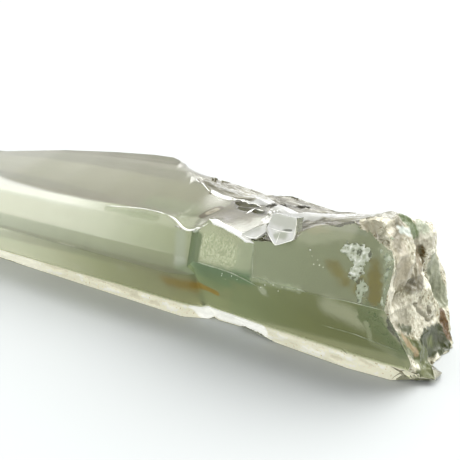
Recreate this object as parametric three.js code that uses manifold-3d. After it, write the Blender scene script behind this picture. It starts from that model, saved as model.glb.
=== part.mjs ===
// A chlorite quartz crystal: a six-sided prism that lies on one of its flat faces, with a natural point at
// one end and a rough break at the other. Millimetres, +Z up, the long axis along X, the point towards -X.

import * as THREE from 'three';
import { mergeVertices } from 'three/addons/utils/BufferGeometryUtils.js';
import { ConvexGeometry } from 'three/addons/geometries/ConvexGeometry.js';
import Module from 'manifold-3d';

// Driving dimensions. X is measured from the front edge of the break, Y from the front foot of the prism.
const POINT_X = -122; // how far the natural point reaches
const RHOMB_ANGLE = THREE.MathUtils.degToRad(38.2); // faces of the point against the long axis
const POINT_AXIS = { y: 8.6, z: 9.8 }; // the line that the point lies on
const MINOR_SETBACK = 1.7; // every second face of the point stands this much further out
const CELL = 0.85; // facet size on broken surfaces
const STOCK_END = 9; // how far the uncut prism runs past the break
const CUTTER = 90; // side of the blocks that cut the point
const WELD = 1e-5; // corners closer than this are one corner

// Corners of the slim zone, seen along the axis, each as [x, y, z] rows. Its end lies inside the second zone.
const SLIM_CORNERS = {
  foot: [[-110, 0.4, 0], [-60, -0.6, 0], [-36, -1, 0], [-32, 0.8, 0], [-28.5, 3, 1.6]],
  rim: [[-110, -0.9, 1.7], [-36, -1.2, 2.1], [-32, -0.9, 2.4], [-28.5, 1.5, 3.6]],
  front: [[-110, -4.7, 8.3], [-60, -5, 9.1], [-36, -5, 8.9], [-32, -4.3, 9.1], [-28.5, -1.5, 9.5]],
  shoulder: [[-110, -1.3, 14.6], [-80, -1, 16], [-62, -1, 16.5], [-36, -1, 16], [-32, -0.7, 15.7],
    [-28.5, 2, 14]],
  crest: [[-110, 15.4, 16.9], [-101, 15.8, 17.9], [-81, 16, 20.1], [-66, 16, 21.2], [-56, 16, 21.7],
    [-32, 16, 21.7], [-28.5, 15.8, 19]],
  back: [[-110, 20.6, 10.6], [-81, 21.6, 12.2], [-56, 22, 12.6], [-32, 22.2, 12.6], [-28.5, 22, 12.6]],
  heel: [[-110, 13.4, 0], [-32, 14, 0], [-28.5, 13.8, 0.2]],
};
const SLIM_STATIONS = [POINT_X - 6, -101, -81, -66, -56, -46, -36, -32, -28.5];

// Corners of the second zone, which stands higher and has a steeper front. Its start lies inside the slim
// zone.
const STOUT_CORNERS = {
  foot: [[-33.6, 1.5, 0.8], [-30.3, 1.3, 0], [-25.5, 1.4, 0], [-19, -0.2, 0], [-7, -1.1, 0], [-1, -0.7, 0],
    [1.3, 1, 0], [STOCK_END, 5, 0]],
  rim: [[-33.6, 0.2, 2.9], [-30.3, -0.6, 2.6], [-25.5, -0.9, 2.5], [-19, -1.3, 2.2], [-1, -1.4, 2.2],
    [STOCK_END, -0.6, 2.2]],
  front: [[-33.6, -3.3, 9.3], [-30.3, -5, 11.8], [-19, -5, 11.4], [STOCK_END, -5, 11.5]],
  shoulder: [[-33.6, -1.1, 15], [-30.3, -0.75, 23.6], [STOCK_END, -0.75, 23.6]],
  crest: [[-33.6, 15.5, 20.5], [-30.3, 11.55, 23.8], [STOCK_END, 11.55, 23.8]],
  back: [[-33.6, 22, 12.6], [-30.3, 22.2, 12.6], [STOCK_END, 22.4, 12.6]],
  heel: [[-33.6, 13.8, 0.1], [-30.3, 14, 0], [STOCK_END, 14.4, 0]],
};
const STOUT_STATIONS = [-33.6, -30.3, -25.5, -19, -7, -1, 1.3, STOCK_END];

// Height of the broken top of the second zone: [x, z] rows at five distances from the front.
const BROKEN_TOP = [
  { y: -3,
    rows: [[-38, 20], [-32, 15.4], [-30.4, 16.3], [-28.8, 18.2], [-21.3, 16.2], [-16.4, 16.8], [-11.6, 19.9],
      [-9, 20.4], [-5, 22], [0, 21.3]] },
  { y: 4.5,
    rows: [[-40, 25], [-36, 18.8], [-33.7, 17.6], [-31, 17.2], [-26, 17.5], [-21, 17.4], [-16, 18.6],
      [-12, 19.6], [-7.5, 20.1], [-4.2, 21.2], [0, 20.5]] },
  { y: 10,
    rows: [[-47, 25], [-42.5, 19.6], [-39, 18.8], [-33, 17.8], [-27, 18.3], [-16, 17.6], [-9, 18.5],
      [-4.2, 19.3], [0, 18.7]] },
  { y: 16,
    rows: [[-54, 24], [-50.5, 21.2], [-46, 19.5], [-40.6, 18.6], [-32.8, 17.1], [-27.7, 17.8], [-19, 16.3],
      [0, 17.2]] },
  { y: 23,
    rows: [[-54, 24], [-48, 19], [-40, 17], [-30, 15.6], [-20, 15], [0, 15.6]] },
];
const TOP_BLOCK = { low: [-60, -14, 10], high: [STOCK_END + 2, 32, 40] }; // holds all that broke off the top
const TOP_ROUGHNESS = { height: 0.28, grain: 4.5, pattern: 7 };
const SMOOTH_SHELF = { y: 4.5, reach: 24, fade: 1.5 }; // smooth left of x = -reach and in front of y

// Shell-shaped ripples on the broken top, round a middle that lies off the back of the crystal.
const RIPPLE = {
  middle: [-24, 26], squash: 1.3, spacing: 2.6, height: 0.14, wander: 0.8, wanderSize: 5, pattern: 3,
};

// The broken end leans back upwards, stands out towards the table, and a fissure runs down it.
const LEAN = {
  face: -0.7,
  skirt: { below: 11, slope: 0.36 },
  back: { beyond: 2, slope: 0.06 },
  corner: { beyond: 28, slope: 0.25 },
  top: { above: 16.5, slope: 0.45 },
};
const FISSURE = {
  from: [6.4, 16.3], to: [15.5, 6.5], width: 1.2, depth: 1.2, wander: 0.5, wanderSize: 2, pattern: 11,
};
const HOLLOW = { y: 10, z: 2, halfWidth: 4.5, halfHeight: 2.2, depth: 0.8 };
const END_BLOCK = { low: [-12, -14, -6], high: [STOCK_END + 12, 32, 32] }; // holds all that broke off the end
const END_LUMPS = { height: 0.6, grain: 5, pattern: 5 };
const END_GRAINS = { height: 0.25, grain: 1.9, pattern: 9 };

const wasm = await Module();
wasm.setup();

// Turns a closed three.js geometry into a solid.
function solid(geometry) {
  for (const name of Object.keys(geometry.attributes)) {
    if (name !== 'position') geometry.deleteAttribute(name);
  }
  const merged = mergeVertices(geometry, WELD);
  return new wasm.Manifold(
    new wasm.Mesh({
      numProp: 3,
      vertProperties: new Float32Array(merged.attributes.position.array),
      triVerts: new Uint32Array(merged.index.array),
    }),
  );
}

// Turns a solid back into a geometry.
function geometryOf(body) {
  const mesh = body.getMesh();
  const geometry = new THREE.BufferGeometry();
  geometry.setAttribute('position', new THREE.BufferAttribute(new Float32Array(mesh.vertProperties), 3));
  geometry.setIndex(new THREE.BufferAttribute(new Uint32Array(mesh.triVerts), 1));
  return geometry;
}

// Straight-line values between rows of [x, ...values].
function along(rows, x) {
  let i = 1;
  while (i < rows.length - 1 && rows[i][0] < x) i += 1;
  const [a, b] = [rows[i - 1], rows[i]];
  const t = THREE.MathUtils.clamp((x - a[0]) / (b[0] - a[0]), 0, 1);
  return a.slice(1).map((value, k) => THREE.MathUtils.lerp(value, b[k + 1], t));
}

// Repeatable noise from -1 to 1, smooth between whole numbers.
function lattice(i, j, k) {
  let h = Math.imul(i, 374761393) ^ Math.imul(j, 668265263) ^ Math.imul(k, 1274126177);
  h = Math.imul(h ^ (h >>> 13), 1103515245);
  h = Math.imul(h ^ (h >>> 15), 2246822519);
  return ((h ^ (h >>> 16)) >>> 0) / 2147483647.5 - 1;
}

function noise(x, y, z) {
  const [i, j, k] = [Math.floor(x), Math.floor(y), Math.floor(z)];
  const ease = (t) => t * t * (3 - 2 * t);
  const [u, v, w] = [ease(x - i), ease(y - j), ease(z - k)];
  const mix = THREE.MathUtils.lerp;
  const row = (b, c) => mix(lattice(i, b, c), lattice(i + 1, b, c), u);
  return mix(mix(row(j, k), row(j + 1, k), v), mix(row(j, k + 1), row(j + 1, k + 1), v), w);
}

// Roughness at u, v: layers of noise, the broadest `grain` millimetres wide. Each `pattern` is another one.
const LAYERS = 3;
const LAYER_SHIFT = 17;
function rough(u, v, { height, grain, pattern }) {
  let sum = 0;
  for (let layer = 0; layer < LAYERS; layer += 1) {
    const f = 2 ** layer / grain;
    sum += noise(pattern * f + LAYER_SHIFT * layer, u * f, v * f) / 2 ** layer;
  }
  return height * sum;
}

// Skins a row of closed sections, each a list of [x, y, z] corners in the same order, and closes both ends.
function loft(sections) {
  const n = sections[0].length;
  const faces = [];
  for (let s = 0; s < sections.length - 1; s += 1) {
    for (let i = 0; i < n; i += 1) {
      const [a, b] = [s * n + i, s * n + ((i + 1) % n)];
      faces.push(a, a + n, b, b, a + n, b + n);
    }
  }
  const last = (sections.length - 1) * n;
  for (let i = 1; i < n - 1; i += 1) {
    faces.push(0, i, i + 1, last, last + i + 1, last + i);
  }
  const geometry = new THREE.BufferGeometry();
  geometry.setAttribute('position', new THREE.Float32BufferAttribute(sections.flat(2), 3));
  geometry.setIndex(faces);
  return solid(geometry);
}

// One section of a zone at x.
function section(corners, x) {
  return Object.values(corners).map((rows) => [x, ...along(rows, x)]);
}

function zone(corners, stations) {
  return loft(stations.map((x) => section(corners, x)));
}

// A block with one face through `point`, lying on the side that `normal` points to.
function halfSpace(point, normal) {
  const box = new THREE.BoxGeometry(CUTTER, CUTTER, CUTTER);
  box.translate(0, 0, CUTTER / 2);
  box.applyQuaternion(new THREE.Quaternion().setFromUnitVectors(new THREE.Vector3(0, 0, 1), normal));
  box.translate(point.x, point.y, point.z);
  return solid(box);
}

// The natural point: a face over each side of the prism, three broad and three set back.
function pointed(body) {
  const tip = new THREE.Vector3(POINT_X, POINT_AXIS.y, POINT_AXIS.z);
  const ring = section(SLIM_CORNERS, SLIM_STATIONS[1]);
  ring.splice(1, 1);
  let result = body;
  ring.forEach(([, y, z], i) => {
    const [, nextY, nextZ] = ring[(i + 1) % ring.length];
    const normal = new THREE.Vector3(0, z - nextZ, nextY - y).setLength(Math.cos(RHOMB_ANGLE));
    if (normal.y * (y - POINT_AXIS.y) + normal.z * (z - POINT_AXIS.z) < 0) normal.negate();
    normal.x = -Math.sin(RHOMB_ANGLE);
    const setback = i % 2 ? MINOR_SETBACK : 0;
    result = result.subtract(halfSpace(tip.clone().addScaledVector(normal, setback), normal));
  });
  return result;
}

// A block cut into cells, each corner moved by `move`.
function shapedBlock(low, high, cells, move) {
  const size = high.map((value, i) => value - low[i]);
  const box = new THREE.BoxGeometry(...size, ...cells);
  box.translate(...low.map((value, i) => value + size[i] / 2));
  const corners = box.attributes.position;
  for (let i = 0; i < corners.count; i += 1) {
    corners.setXYZ(i, ...move(corners.getX(i), corners.getY(i), corners.getZ(i)));
  }
  return solid(box);
}

// Height of the broken top at x, y.
function brokenTop(x, y) {
  let i = 1;
  while (i < BROKEN_TOP.length - 1 && BROKEN_TOP[i].y < y) i += 1;
  const [a, b] = [BROKEN_TOP[i - 1], BROKEN_TOP[i]];
  const t = THREE.MathUtils.clamp((y - a.y) / (b.y - a.y), 0, 1);
  const height = THREE.MathUtils.lerp(along(a.rows, x)[0], along(b.rows, x)[0], t);
  const wander = RIPPLE.wander * noise(x / RIPPLE.wanderSize, y / RIPPLE.wanderSize, RIPPLE.pattern);
  const arc = Math.hypot(x - RIPPLE.middle[0], (y - RIPPLE.middle[1]) * RIPPLE.squash) + wander;
  const wave = RIPPLE.height * Math.sin((arc / RIPPLE.spacing) * 2 * Math.PI);
  const behindShelf = Math.max(y, x + SMOOTH_SHELF.reach);
  const broken = THREE.MathUtils.smoothstep(behindShelf, SMOOTH_SHELF.y - SMOOTH_SHELF.fade, SMOOTH_SHELF.y);
  return height + broken * (wave + rough(x, y, TOP_ROUGHNESS));
}

// How many cells of the facet size fit along each axis of a block.
function cellsOf({ low, high }) {
  return high.map((value, i) => Math.round((value - low[i]) / CELL));
}

// What broke off the top of the second zone.
function topWaste() {
  const { low, high } = TOP_BLOCK;
  const [nx, ny] = cellsOf(TOP_BLOCK);
  return shapedBlock(low, high, [nx, ny, 1], (x, y, z) => [x, y, z > low[2] ? z : brokenTop(x, y)]);
}

// How far the broken end stands out at y, z.
function brokenEnd(y, z) {
  const lean = LEAN.face
    + LEAN.skirt.slope * Math.max(0, LEAN.skirt.below - z)
    - LEAN.back.slope * Math.max(0, y - LEAN.back.beyond)
    - LEAN.corner.slope * Math.max(0, y + z - LEAN.corner.beyond)
    - LEAN.top.slope * Math.max(0, z - LEAN.top.above);
  const from = new THREE.Vector2(...FISSURE.from);
  const run = new THREE.Vector2(...FISSURE.to).sub(from);
  const here = new THREE.Vector2(y, z).sub(from);
  const t = THREE.MathUtils.clamp(here.dot(run) / run.lengthSq(), 0, 1);
  const wander = FISSURE.wander * noise(y / FISSURE.wanderSize, z / FISSURE.wanderSize, FISSURE.pattern);
  const away = here.distanceTo(run.multiplyScalar(t)) + wander;
  const groove = FISSURE.depth * Math.exp(-((away / FISSURE.width) ** 2));
  const [across, up] = [(y - HOLLOW.y) / HOLLOW.halfWidth, (z - HOLLOW.z) / HOLLOW.halfHeight];
  const hollow = HOLLOW.depth * Math.exp(-(across ** 2) - up ** 2);
  return lean - groove - hollow + rough(y, z, END_LUMPS) + rough(y, z, END_GRAINS);
}

// What broke off past the end.
function endWaste() {
  const { low, high } = END_BLOCK;
  const [, ny, nz] = cellsOf(END_BLOCK);
  return shapedBlock(low, high, [1, ny, nz], (x, y, z) => [x > low[0] ? x : brokenEnd(y, z), y, z]);
}

// A shell-shaped chip.
function chip({ middle, halfSizes, turn = 0 }) {
  const ball = new THREE.IcosahedronGeometry(1, 5);
  ball.scale(...halfSizes);
  ball.rotateY(turn);
  ball.translate(...middle);
  return solid(ball);
}

// Shell-shaped chips: one long shallow scallop along the shoulder of the slim zone, and small ones elsewhere.
const SCALLOP = { middle: [-43, -4.4, 19.0], halfSizes: [23, 5.1, 5.1] };
const CHIPS = [
  { middle: [-18.6, -5.4, 10.2], halfSizes: [1.9, 1.1, 2.2], turn: 0.4 },
  { middle: [-14.3, -5.6, 11.6], halfSizes: [1.5, 1.0, 1.2] },
  { middle: [-28, -1.6, -1.1], halfSizes: [5.5, 2.4, 2.0] },
];

// Angular flakes still standing on the front edge of the broken top, and the lip left under the break.
const FLAKES = [
  [[-17.2, -3.9, 16.4], [-14.7, -3.4, 17.5], [-14.9, -2.3, 20.2], [-18.5, -2.2, 20.4], [-19.2, -3.1, 18],
    [-17.2, -1.2, 15.8], [-14.7, -1, 17], [-15.4, 0.6, 19.6], [-18.2, 0.6, 19.8], [-19, -1, 17.4]],
  [[-23, -3.5, 16.9], [-21.8, -3.8, 16.6], [-20.3, -3.8, 16.7], [-19, -3.4, 17.9], [-19.3, -2.9, 18.8],
    [-22.6, -1.5, 16.2], [-19.8, -1.7, 16.6], [-19.6, -0.6, 18.6], [-21.6, -0.8, 17.8]],
  [[4.4, 3.4, 0.9], [4.1, 1.3, 0.8], [3.1, 2.4, 0], [3.9, 5, 0], [3.4, 2.2, 1.9], [0, 0.6, 0], [0, -0.8, 1.6],
    [0, 5, 2.2], [0, 7, 0]],
];

function flake(points) {
  return solid(new ConvexGeometry(points.map((point) => new THREE.Vector3(...point))));
}

function crystalBody() {
  const slim = pointed(zone(SLIM_CORNERS, SLIM_STATIONS)).subtract(chip(SCALLOP));
  let body = slim.add(zone(STOUT_CORNERS, STOUT_STATIONS)).subtract(topWaste()).subtract(endWaste());
  for (const points of FLAKES) body = body.add(flake(points));
  for (const size of CHIPS) body = body.subtract(chip(size));
  return body;
}

const geometry = geometryOf(crystalBody());
geometry.computeBoundingBox();
const { min, max } = geometry.boundingBox;
const finish = new THREE.MeshStandardMaterial({ color: '#a9b394', roughness: 0.15, metalness: 0 });
const crystal = new THREE.Mesh(geometry, finish);
crystal.name = 'crystal';
crystal.position.set(-(min.x + max.x) / 2, -(min.y + max.y) / 2, -min.z);

const model = new THREE.Group();
model.add(crystal);
export default model;
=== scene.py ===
"""Looks of a chlorite quartz crystal: a long green-tinted prism that lies on a face, broken at its base end.

Lengths in the classes are millimetres from the datum: X runs along the crystal towards the break, Y away from
the steep front faces and Z up from the table. Blender's own objects are in metres. Colours in the classes are
shades of red, green and blue from 0 to 255, as a screen shows them.
"""

import logging
import math
from collections.abc import Callable
from dataclasses import dataclass
from enum import Enum

import bmesh
import bpy
import numpy as np
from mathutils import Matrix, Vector
from mathutils.bvhtree import BVHTree

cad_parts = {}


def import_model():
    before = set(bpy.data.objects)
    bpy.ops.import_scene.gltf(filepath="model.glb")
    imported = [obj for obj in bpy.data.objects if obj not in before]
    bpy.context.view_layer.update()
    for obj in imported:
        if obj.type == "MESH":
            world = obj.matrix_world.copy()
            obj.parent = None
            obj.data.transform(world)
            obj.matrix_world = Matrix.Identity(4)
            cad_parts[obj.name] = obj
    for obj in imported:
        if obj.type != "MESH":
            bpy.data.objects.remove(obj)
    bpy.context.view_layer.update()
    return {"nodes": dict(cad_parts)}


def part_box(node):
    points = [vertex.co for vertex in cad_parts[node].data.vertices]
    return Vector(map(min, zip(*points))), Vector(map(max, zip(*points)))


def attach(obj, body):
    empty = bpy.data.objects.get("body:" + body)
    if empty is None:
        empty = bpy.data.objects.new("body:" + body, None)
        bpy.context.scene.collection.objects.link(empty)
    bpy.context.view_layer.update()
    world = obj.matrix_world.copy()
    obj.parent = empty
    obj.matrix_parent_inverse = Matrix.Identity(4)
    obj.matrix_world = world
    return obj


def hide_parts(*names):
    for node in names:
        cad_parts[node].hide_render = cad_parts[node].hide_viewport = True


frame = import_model()

MM = 0.001
TINY = 1e-12
BLACK = (0, 0, 0)
LOG = logging.getLogger("chlorite_quartz")

# What a mesh keeps for its finishes: the height within the roughness, and the way up the rim.
RELIEF = "relief"
RISE = "rise"

# The usual value of ridged noise, which heights are counted from.
RIDGE_MEAN = 0.55

# Quartz as a body: how it bends light, and the tint it takes over its depth.
QUARTZ_BEND = 1.54
DEPTH_TINT = (0.47, 0.50, 0.30)
DEPTH_STRENGTH = 16.0

Triple = tuple[float, float, float]
Shade = tuple[int, int, int]
Stops = tuple[tuple[float, Shade], ...]
Socket = bpy.types.NodeSocket

# The datum is the foot of the prism, on the table, at the start of the break.
LOW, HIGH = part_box("crystal")
LIP_REACH = 4.4 * MM
FRONT_REACH = 5.0 * MM
DATUM = Vector((HIGH.x - LIP_REACH, LOW.y + FRONT_REACH, LOW.z))


def place(x: float, y: float, z: float) -> Vector:
    """Turns millimetres from the datum into a point of the scene."""
    return DATUM + Vector((x, y, z)) * MM


def paint(shade: Shade) -> Triple:
    """Turns a shade into linear light."""
    shares = [value / 255.0 for value in shade]
    return tuple(s / 12.92 if s <= 0.04045 else ((s + 0.055) / 1.055) ** 2.4 for s in shares)


def smooth(low: float, high: float, value: np.ndarray) -> np.ndarray:
    """Rises smoothly from 0 at low to 1 at high."""
    t = np.clip((value - low) / (high - low), 0.0, 1.0)
    return t * t * (3.0 - 2.0 * t)


def smooth_from(least: float, low: float, high: float, value: np.ndarray) -> np.ndarray:
    """Rises smoothly from a least value at low to 1 at high."""
    return least + (1.0 - least) * smooth(low, high, value)


def record(mesh: bpy.types.Mesh, name: str, values: np.ndarray) -> None:
    """Keeps a value for each corner on a mesh, where finishes can read it."""
    mesh.attributes.new(name, "FLOAT", "POINT").data.foreach_set("value", values)


def unit(vectors: np.ndarray) -> np.ndarray:
    """Brings vectors to a length of 1."""
    return vectors / np.maximum(np.linalg.norm(vectors, axis=1), TINY)[:, None]


# ---------------------------------------------------------------------------------------------- mesh work


class Noise:
    """Repeatable smooth noise over arrays of points.

    Args:
        seed: which of the endless patterns to read.
    """

    def __init__(self, seed: int) -> None:
        """Draws the table of values."""
        self.table = np.random.default_rng(seed).uniform(-1.0, 1.0, 4096)

    def lattice(self, cell: np.ndarray) -> np.ndarray:
        """Values from -1 to 1 at whole-numbered cells."""
        i, j, k = (cell[:, n].astype(np.int64) for n in range(3))
        mixed = (i * 73856093) ^ (j * 19349663) ^ (k * 83492791)
        return self.table[mixed & 4095]

    def plain(self, points: np.ndarray) -> np.ndarray:
        """Smooth noise of one size.

        Args:
            points: n by 3 array, one unit for each bump.

        Returns:
            n values from -1 to 1.
        """
        base = np.floor(points)
        t = points - base
        t = t * t * (3.0 - 2.0 * t)
        total = np.zeros(len(points))
        for corner in range(8):
            step = np.array([(corner >> n) & 1 for n in range(3)])
            weight = np.prod(np.where(step == 1, t, 1.0 - t), axis=1)
            total += weight * self.lattice(base + step)
        return total

    def layered(self, points: np.ndarray, octaves: int = 3) -> np.ndarray:
        """Noise with finer, weaker layers on top."""
        total = np.zeros(len(points))
        for n in range(octaves):
            total += self.plain(points * 2.0**n + 31.7 * n) / 2.0**n
        return total

    def ridged(self, points: np.ndarray, octaves: int = 3) -> np.ndarray:
        """Noise folded into sharp crests, from 0 in the hollows to about 1 on the crests."""
        total = np.zeros(len(points))
        for n in range(octaves):
            total += (1.0 - np.abs(self.plain(points * 2.0**n + 17.3 * n))) ** 3 / 2.0**n
        return total / 1.75


@dataclass
class Skin:
    """A triangle mesh held as arrays while it is worked on.

    Args:
        points: corner places in millimetres from the datum.
        faces: corner numbers, three for each triangle.
        broken: whether each triangle lies on a broken surface.
    """

    points: np.ndarray
    faces: np.ndarray
    broken: np.ndarray

    def edges(self) -> np.ndarray:
        """The three edges of every triangle, as pairs of corner numbers."""
        return self.faces[:, [[0, 1], [1, 2], [2, 0]]].reshape(-1, 2)

    def across(self) -> np.ndarray:
        """A vector square to every triangle, as long as twice its area."""
        a, b, c = (self.points[self.faces[:, n]] for n in range(3))
        return np.cross(b - a, c - a)

    def middles(self) -> np.ndarray:
        """The middle of every triangle."""
        return self.points[self.faces].mean(axis=1)

    def refine(self, limit_at: Callable[[np.ndarray, np.ndarray], np.ndarray]) -> None:
        """Halves edges until none is longer than its place allows.

        Args:
            limit_at: gives the longest edge in millimetres for triangle middles and their broken marks.
        """
        while True:
            count = len(self.points)
            pairs = np.sort(self.edges(), axis=1)
            numbers = pairs[:, 0] * count + pairs[:, 1]
            keys, first, spread = np.unique(numbers, return_index=True, return_inverse=True)
            spread = spread.reshape(-1)
            allowed = limit_at(self.middles(), self.broken)
            limit = np.full(len(keys), allowed.max())
            np.minimum.at(limit, spread, np.repeat(allowed, 3))
            a, b = pairs[first, 0], pairs[first, 1]
            split = np.linalg.norm(self.points[a] - self.points[b], axis=1) > limit
            if not split.any():
                return
            middle = np.full(len(keys), -1)
            middle[split] = count + np.arange(split.sum())
            self.points = np.vstack([self.points, (self.points[a[split]] + self.points[b[split]]) / 2.0])
            self.faces, self.broken = self.halved(middle[spread].reshape(-1, 3))

    def halved(self, middles: np.ndarray) -> tuple[np.ndarray, np.ndarray]:
        """Cuts each triangle at the given edge middles.

        Args:
            middles: a corner number for each edge of each triangle, or -1 where the edge stays whole.

        Returns:
            The new triangles and their broken marks.
        """
        cut = (middles >= 0).sum(axis=1)
        kept, marks = [self.faces[cut == 0]], [self.broken[cut == 0]]
        for amount in (1, 2, 3):
            rows = cut == amount
            corners, mids, mark = self.faces[rows], middles[rows], self.broken[rows]
            turn = np.zeros(len(corners), dtype=int)
            if amount == 1:
                turn = np.argmax(mids >= 0, axis=1)
            elif amount == 2:
                turn = (np.argmax(mids < 0, axis=1) + 1) % 3
            order = (turn[:, None] + np.arange(3)) % 3
            a, b, c = np.take_along_axis(corners, order, axis=1).T
            p, q, r = np.take_along_axis(mids, order, axis=1).T
            shapes = {
                1: [(a, p, c), (p, b, c)],
                2: [(p, b, q), (a, p, q), (a, q, c)],
                3: [(a, p, r), (p, b, q), (r, q, c), (p, q, r)],
            }[amount]
            for shape in shapes:
                kept.append(np.stack(shape, axis=1))
                marks.append(mark)
        return np.vstack(kept), np.concatenate(marks)

    def gather(self, values: np.ndarray) -> np.ndarray:
        """Adds up, at each corner, a value of every triangle that meets there."""
        total = np.zeros((len(self.points),) + values.shape[1:])
        for n in range(3):
            np.add.at(total, self.faces[:, n], values)
        return total

    def normals(self) -> np.ndarray:
        """Unit normals at the corners, weighted by area."""
        return unit(self.gather(self.across()))

    def share_broken(self) -> np.ndarray:
        """How much of what meets each corner is broken surface, from 0 to 1."""
        return self.gather(self.broken.astype(float)) / self.gather(np.ones(len(self.faces)))

    def relax(self, movable: np.ndarray, rounds: int) -> None:
        """Draws movable corners halfway towards the middle of their neighbours, round after round."""
        edges = self.edges()
        weight = np.zeros(len(self.points))
        np.add.at(weight, edges[:, 0], 1.0)
        for _ in range(rounds):
            total = np.zeros_like(self.points)
            np.add.at(total, edges[:, 0], self.points[edges[:, 1]])
            target = total / weight[:, None]
            self.points = np.where(movable[:, None], (self.points + target) / 2.0, self.points)

    def at_sharp_edge(self, angle: float) -> np.ndarray:
        """Marks the corners on edges where the surface turns by more than an angle in degrees."""
        flat = unit(self.across())
        pairs = np.sort(self.edges(), axis=1)
        owner = np.repeat(np.arange(len(self.faces)), 3)
        order = np.lexsort((pairs[:, 1], pairs[:, 0]))
        one, other = owner[order][0::2], owner[order][1::2]
        sharp = (flat[one] * flat[other]).sum(axis=1) < math.cos(math.radians(angle))
        marks = np.zeros(len(self.points), dtype=bool)
        marks[pairs[order][0::2][sharp].reshape(-1)] = True
        return marks

    def push(self, heights: np.ndarray) -> None:
        """Moves every corner out along its normal."""
        self.points = self.points + self.normals() * heights[:, None]


# ---------------------------------------------------------------------------------------------- shading


class Wiring:
    """Lays the nodes of one material or node group.

    Args:
        tree: the node tree to add to.
    """

    def __init__(self, tree: bpy.types.NodeTree) -> None:
        """Keeps the tree."""
        self.tree = tree

    def node(self, kind: str, inputs: dict | None = None, **settings: object) -> bpy.types.Node:
        """Adds a node.

        Args:
            kind: the node's type.
            inputs: values or sockets for its inputs, by name or number.
            settings: the node's own options.

        Returns:
            The new node.
        """
        node = self.tree.nodes.new(kind)
        for name, value in settings.items():
            setattr(node, name, value)
        self.fill(node, inputs or {})
        return node

    def fill(self, node: bpy.types.Node, inputs: dict) -> None:
        """Links inputs of a node to sockets, or sets plain values on them."""
        for name, value in inputs.items():
            socket = node.inputs[name]
            if isinstance(value, Socket):
                self.tree.links.new(value, socket)
            elif socket.type == "RGBA":
                socket.default_value = (*value, 1.0)
            else:
                socket.default_value = value

    def math(self, operation: str, first: object, second: object = 0.0) -> Socket:
        """Works out one number from two."""
        return self.node("ShaderNodeMath", {0: first, 1: second}, operation=operation).outputs[0]

    def plus(self, first: object, second: object) -> Socket:
        """Adds two numbers."""
        return self.math("ADD", first, second)

    def minus(self, first: object, second: object) -> Socket:
        """Takes the second number from the first."""
        return self.math("SUBTRACT", first, second)

    def times(self, first: object, second: object) -> Socket:
        """Multiplies two numbers."""
        return self.math("MULTIPLY", first, second)

    def vector(self, operation: str, first: object, second: object = (0.0, 0.0, 0.0)) -> Socket:
        """Works out one vector from two."""
        return self.node("ShaderNodeVectorMath", {0: first, 1: second}, operation=operation).outputs[0]

    def measure(self, operation: str, first: object, second: object = (0.0, 0.0, 0.0)) -> Socket:
        """Works out one number from two vectors."""
        node = self.node("ShaderNodeVectorMath", {0: first, 1: second}, operation=operation)
        return node.outputs["Value"]

    def scaled(self, vector: object, factor: object) -> Socket:
        """Makes a vector longer or shorter."""
        return self.node("ShaderNodeVectorMath", {0: vector, "Scale": factor}, operation="SCALE").outputs[0]

    def axes(self, vector: object) -> bpy.types.NodeOutputs:
        """Splits a vector into X, Y and Z."""
        return self.node("ShaderNodeSeparateXYZ", {0: vector}).outputs

    def step(self, value: object, low: object, high: object) -> Socket:
        """Rises smoothly from 0 at low to 1 at high."""
        inputs = {"Value": value, "From Min": low, "From Max": high}
        return self.node("ShaderNodeMapRange", inputs, interpolation_type="SMOOTHSTEP").outputs["Result"]

    def mix(self, share: object, under: object, over: object, blend: str = "MIX") -> Socket:
        """Lays one colour over another."""
        inputs = {0: share, 6: under, 7: over}
        return self.node("ShaderNodeMix", inputs, data_type="RGBA", blend_type=blend).outputs[2]

    def noise(self, vector: object, scale: object, detail: float = 2.0, seed: float = 0.0) -> Socket:
        """Cloudy values around 0.5."""
        inputs = {"Vector": vector, "W": seed, "Scale": scale, "Detail": detail}
        return self.node("ShaderNodeTexNoise", inputs, noise_dimensions="4D").outputs[0]

    def gradient(self, value: object, stops: Stops) -> Socket:
        """Runs through shades as a value in millimetres grows.

        Args:
            value: where along the gradient to read.
            stops: places in millimetres, rising, each with its shade.

        Returns:
            The colour there.
        """
        first, last = stops[0][0], stops[-1][0]
        inputs = {"Value": value, "From Min": first, "From Max": last}
        share = self.node("ShaderNodeMapRange", inputs).outputs["Result"]
        ramp = self.node("ShaderNodeValToRGB", {0: share})
        elements = ramp.color_ramp.elements
        while len(elements) < len(stops):
            elements.new(1.0)
        for element, (spot, shade) in zip(elements, stops):
            element.position = (spot - first) / (last - first)
            element.color = (*paint(shade), 1.0)
        return ramp.outputs[0]

    def veins(self, vector: object, scale: float, width: float, seed: float) -> Socket:
        """A network of thin wandering lines: 0 on the lines and 1 between them."""
        away = self.math("ABSOLUTE", self.minus(self.noise(vector, scale, 2.0, seed), 0.5))
        return self.step(away, 0.0, width)

    def bump(self, height: Socket, strength: float, depth: float) -> Socket:
        """Turns heights into normals, for a roughness of some depth in millimetres."""
        inputs = {"Strength": strength, "Distance": depth * MM, "Height": height}
        return self.node("ShaderNodeBump", inputs).outputs[0]

    def recorded(self, name: str) -> Socket:
        """A value that the mesh holds for each corner."""
        return self.node("ShaderNodeAttribute", attribute_name=name).outputs["Fac"]

    def facing(self) -> bpy.types.NodeOutputs:
        """The way the surface faces, as its X, Y and Z shares."""
        return self.axes(self.node("ShaderNodeNewGeometry").outputs["True Normal"])

    def millimetres(self) -> Socket:
        """The place on the piece, in millimetres from the datum."""
        coordinates = self.node("ShaderNodeTexCoord").outputs["Object"]
        moved = self.vector("SUBTRACT", coordinates, tuple(DATUM))
        return self.vector("DIVIDE", moved, (MM, MM, MM))

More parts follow.
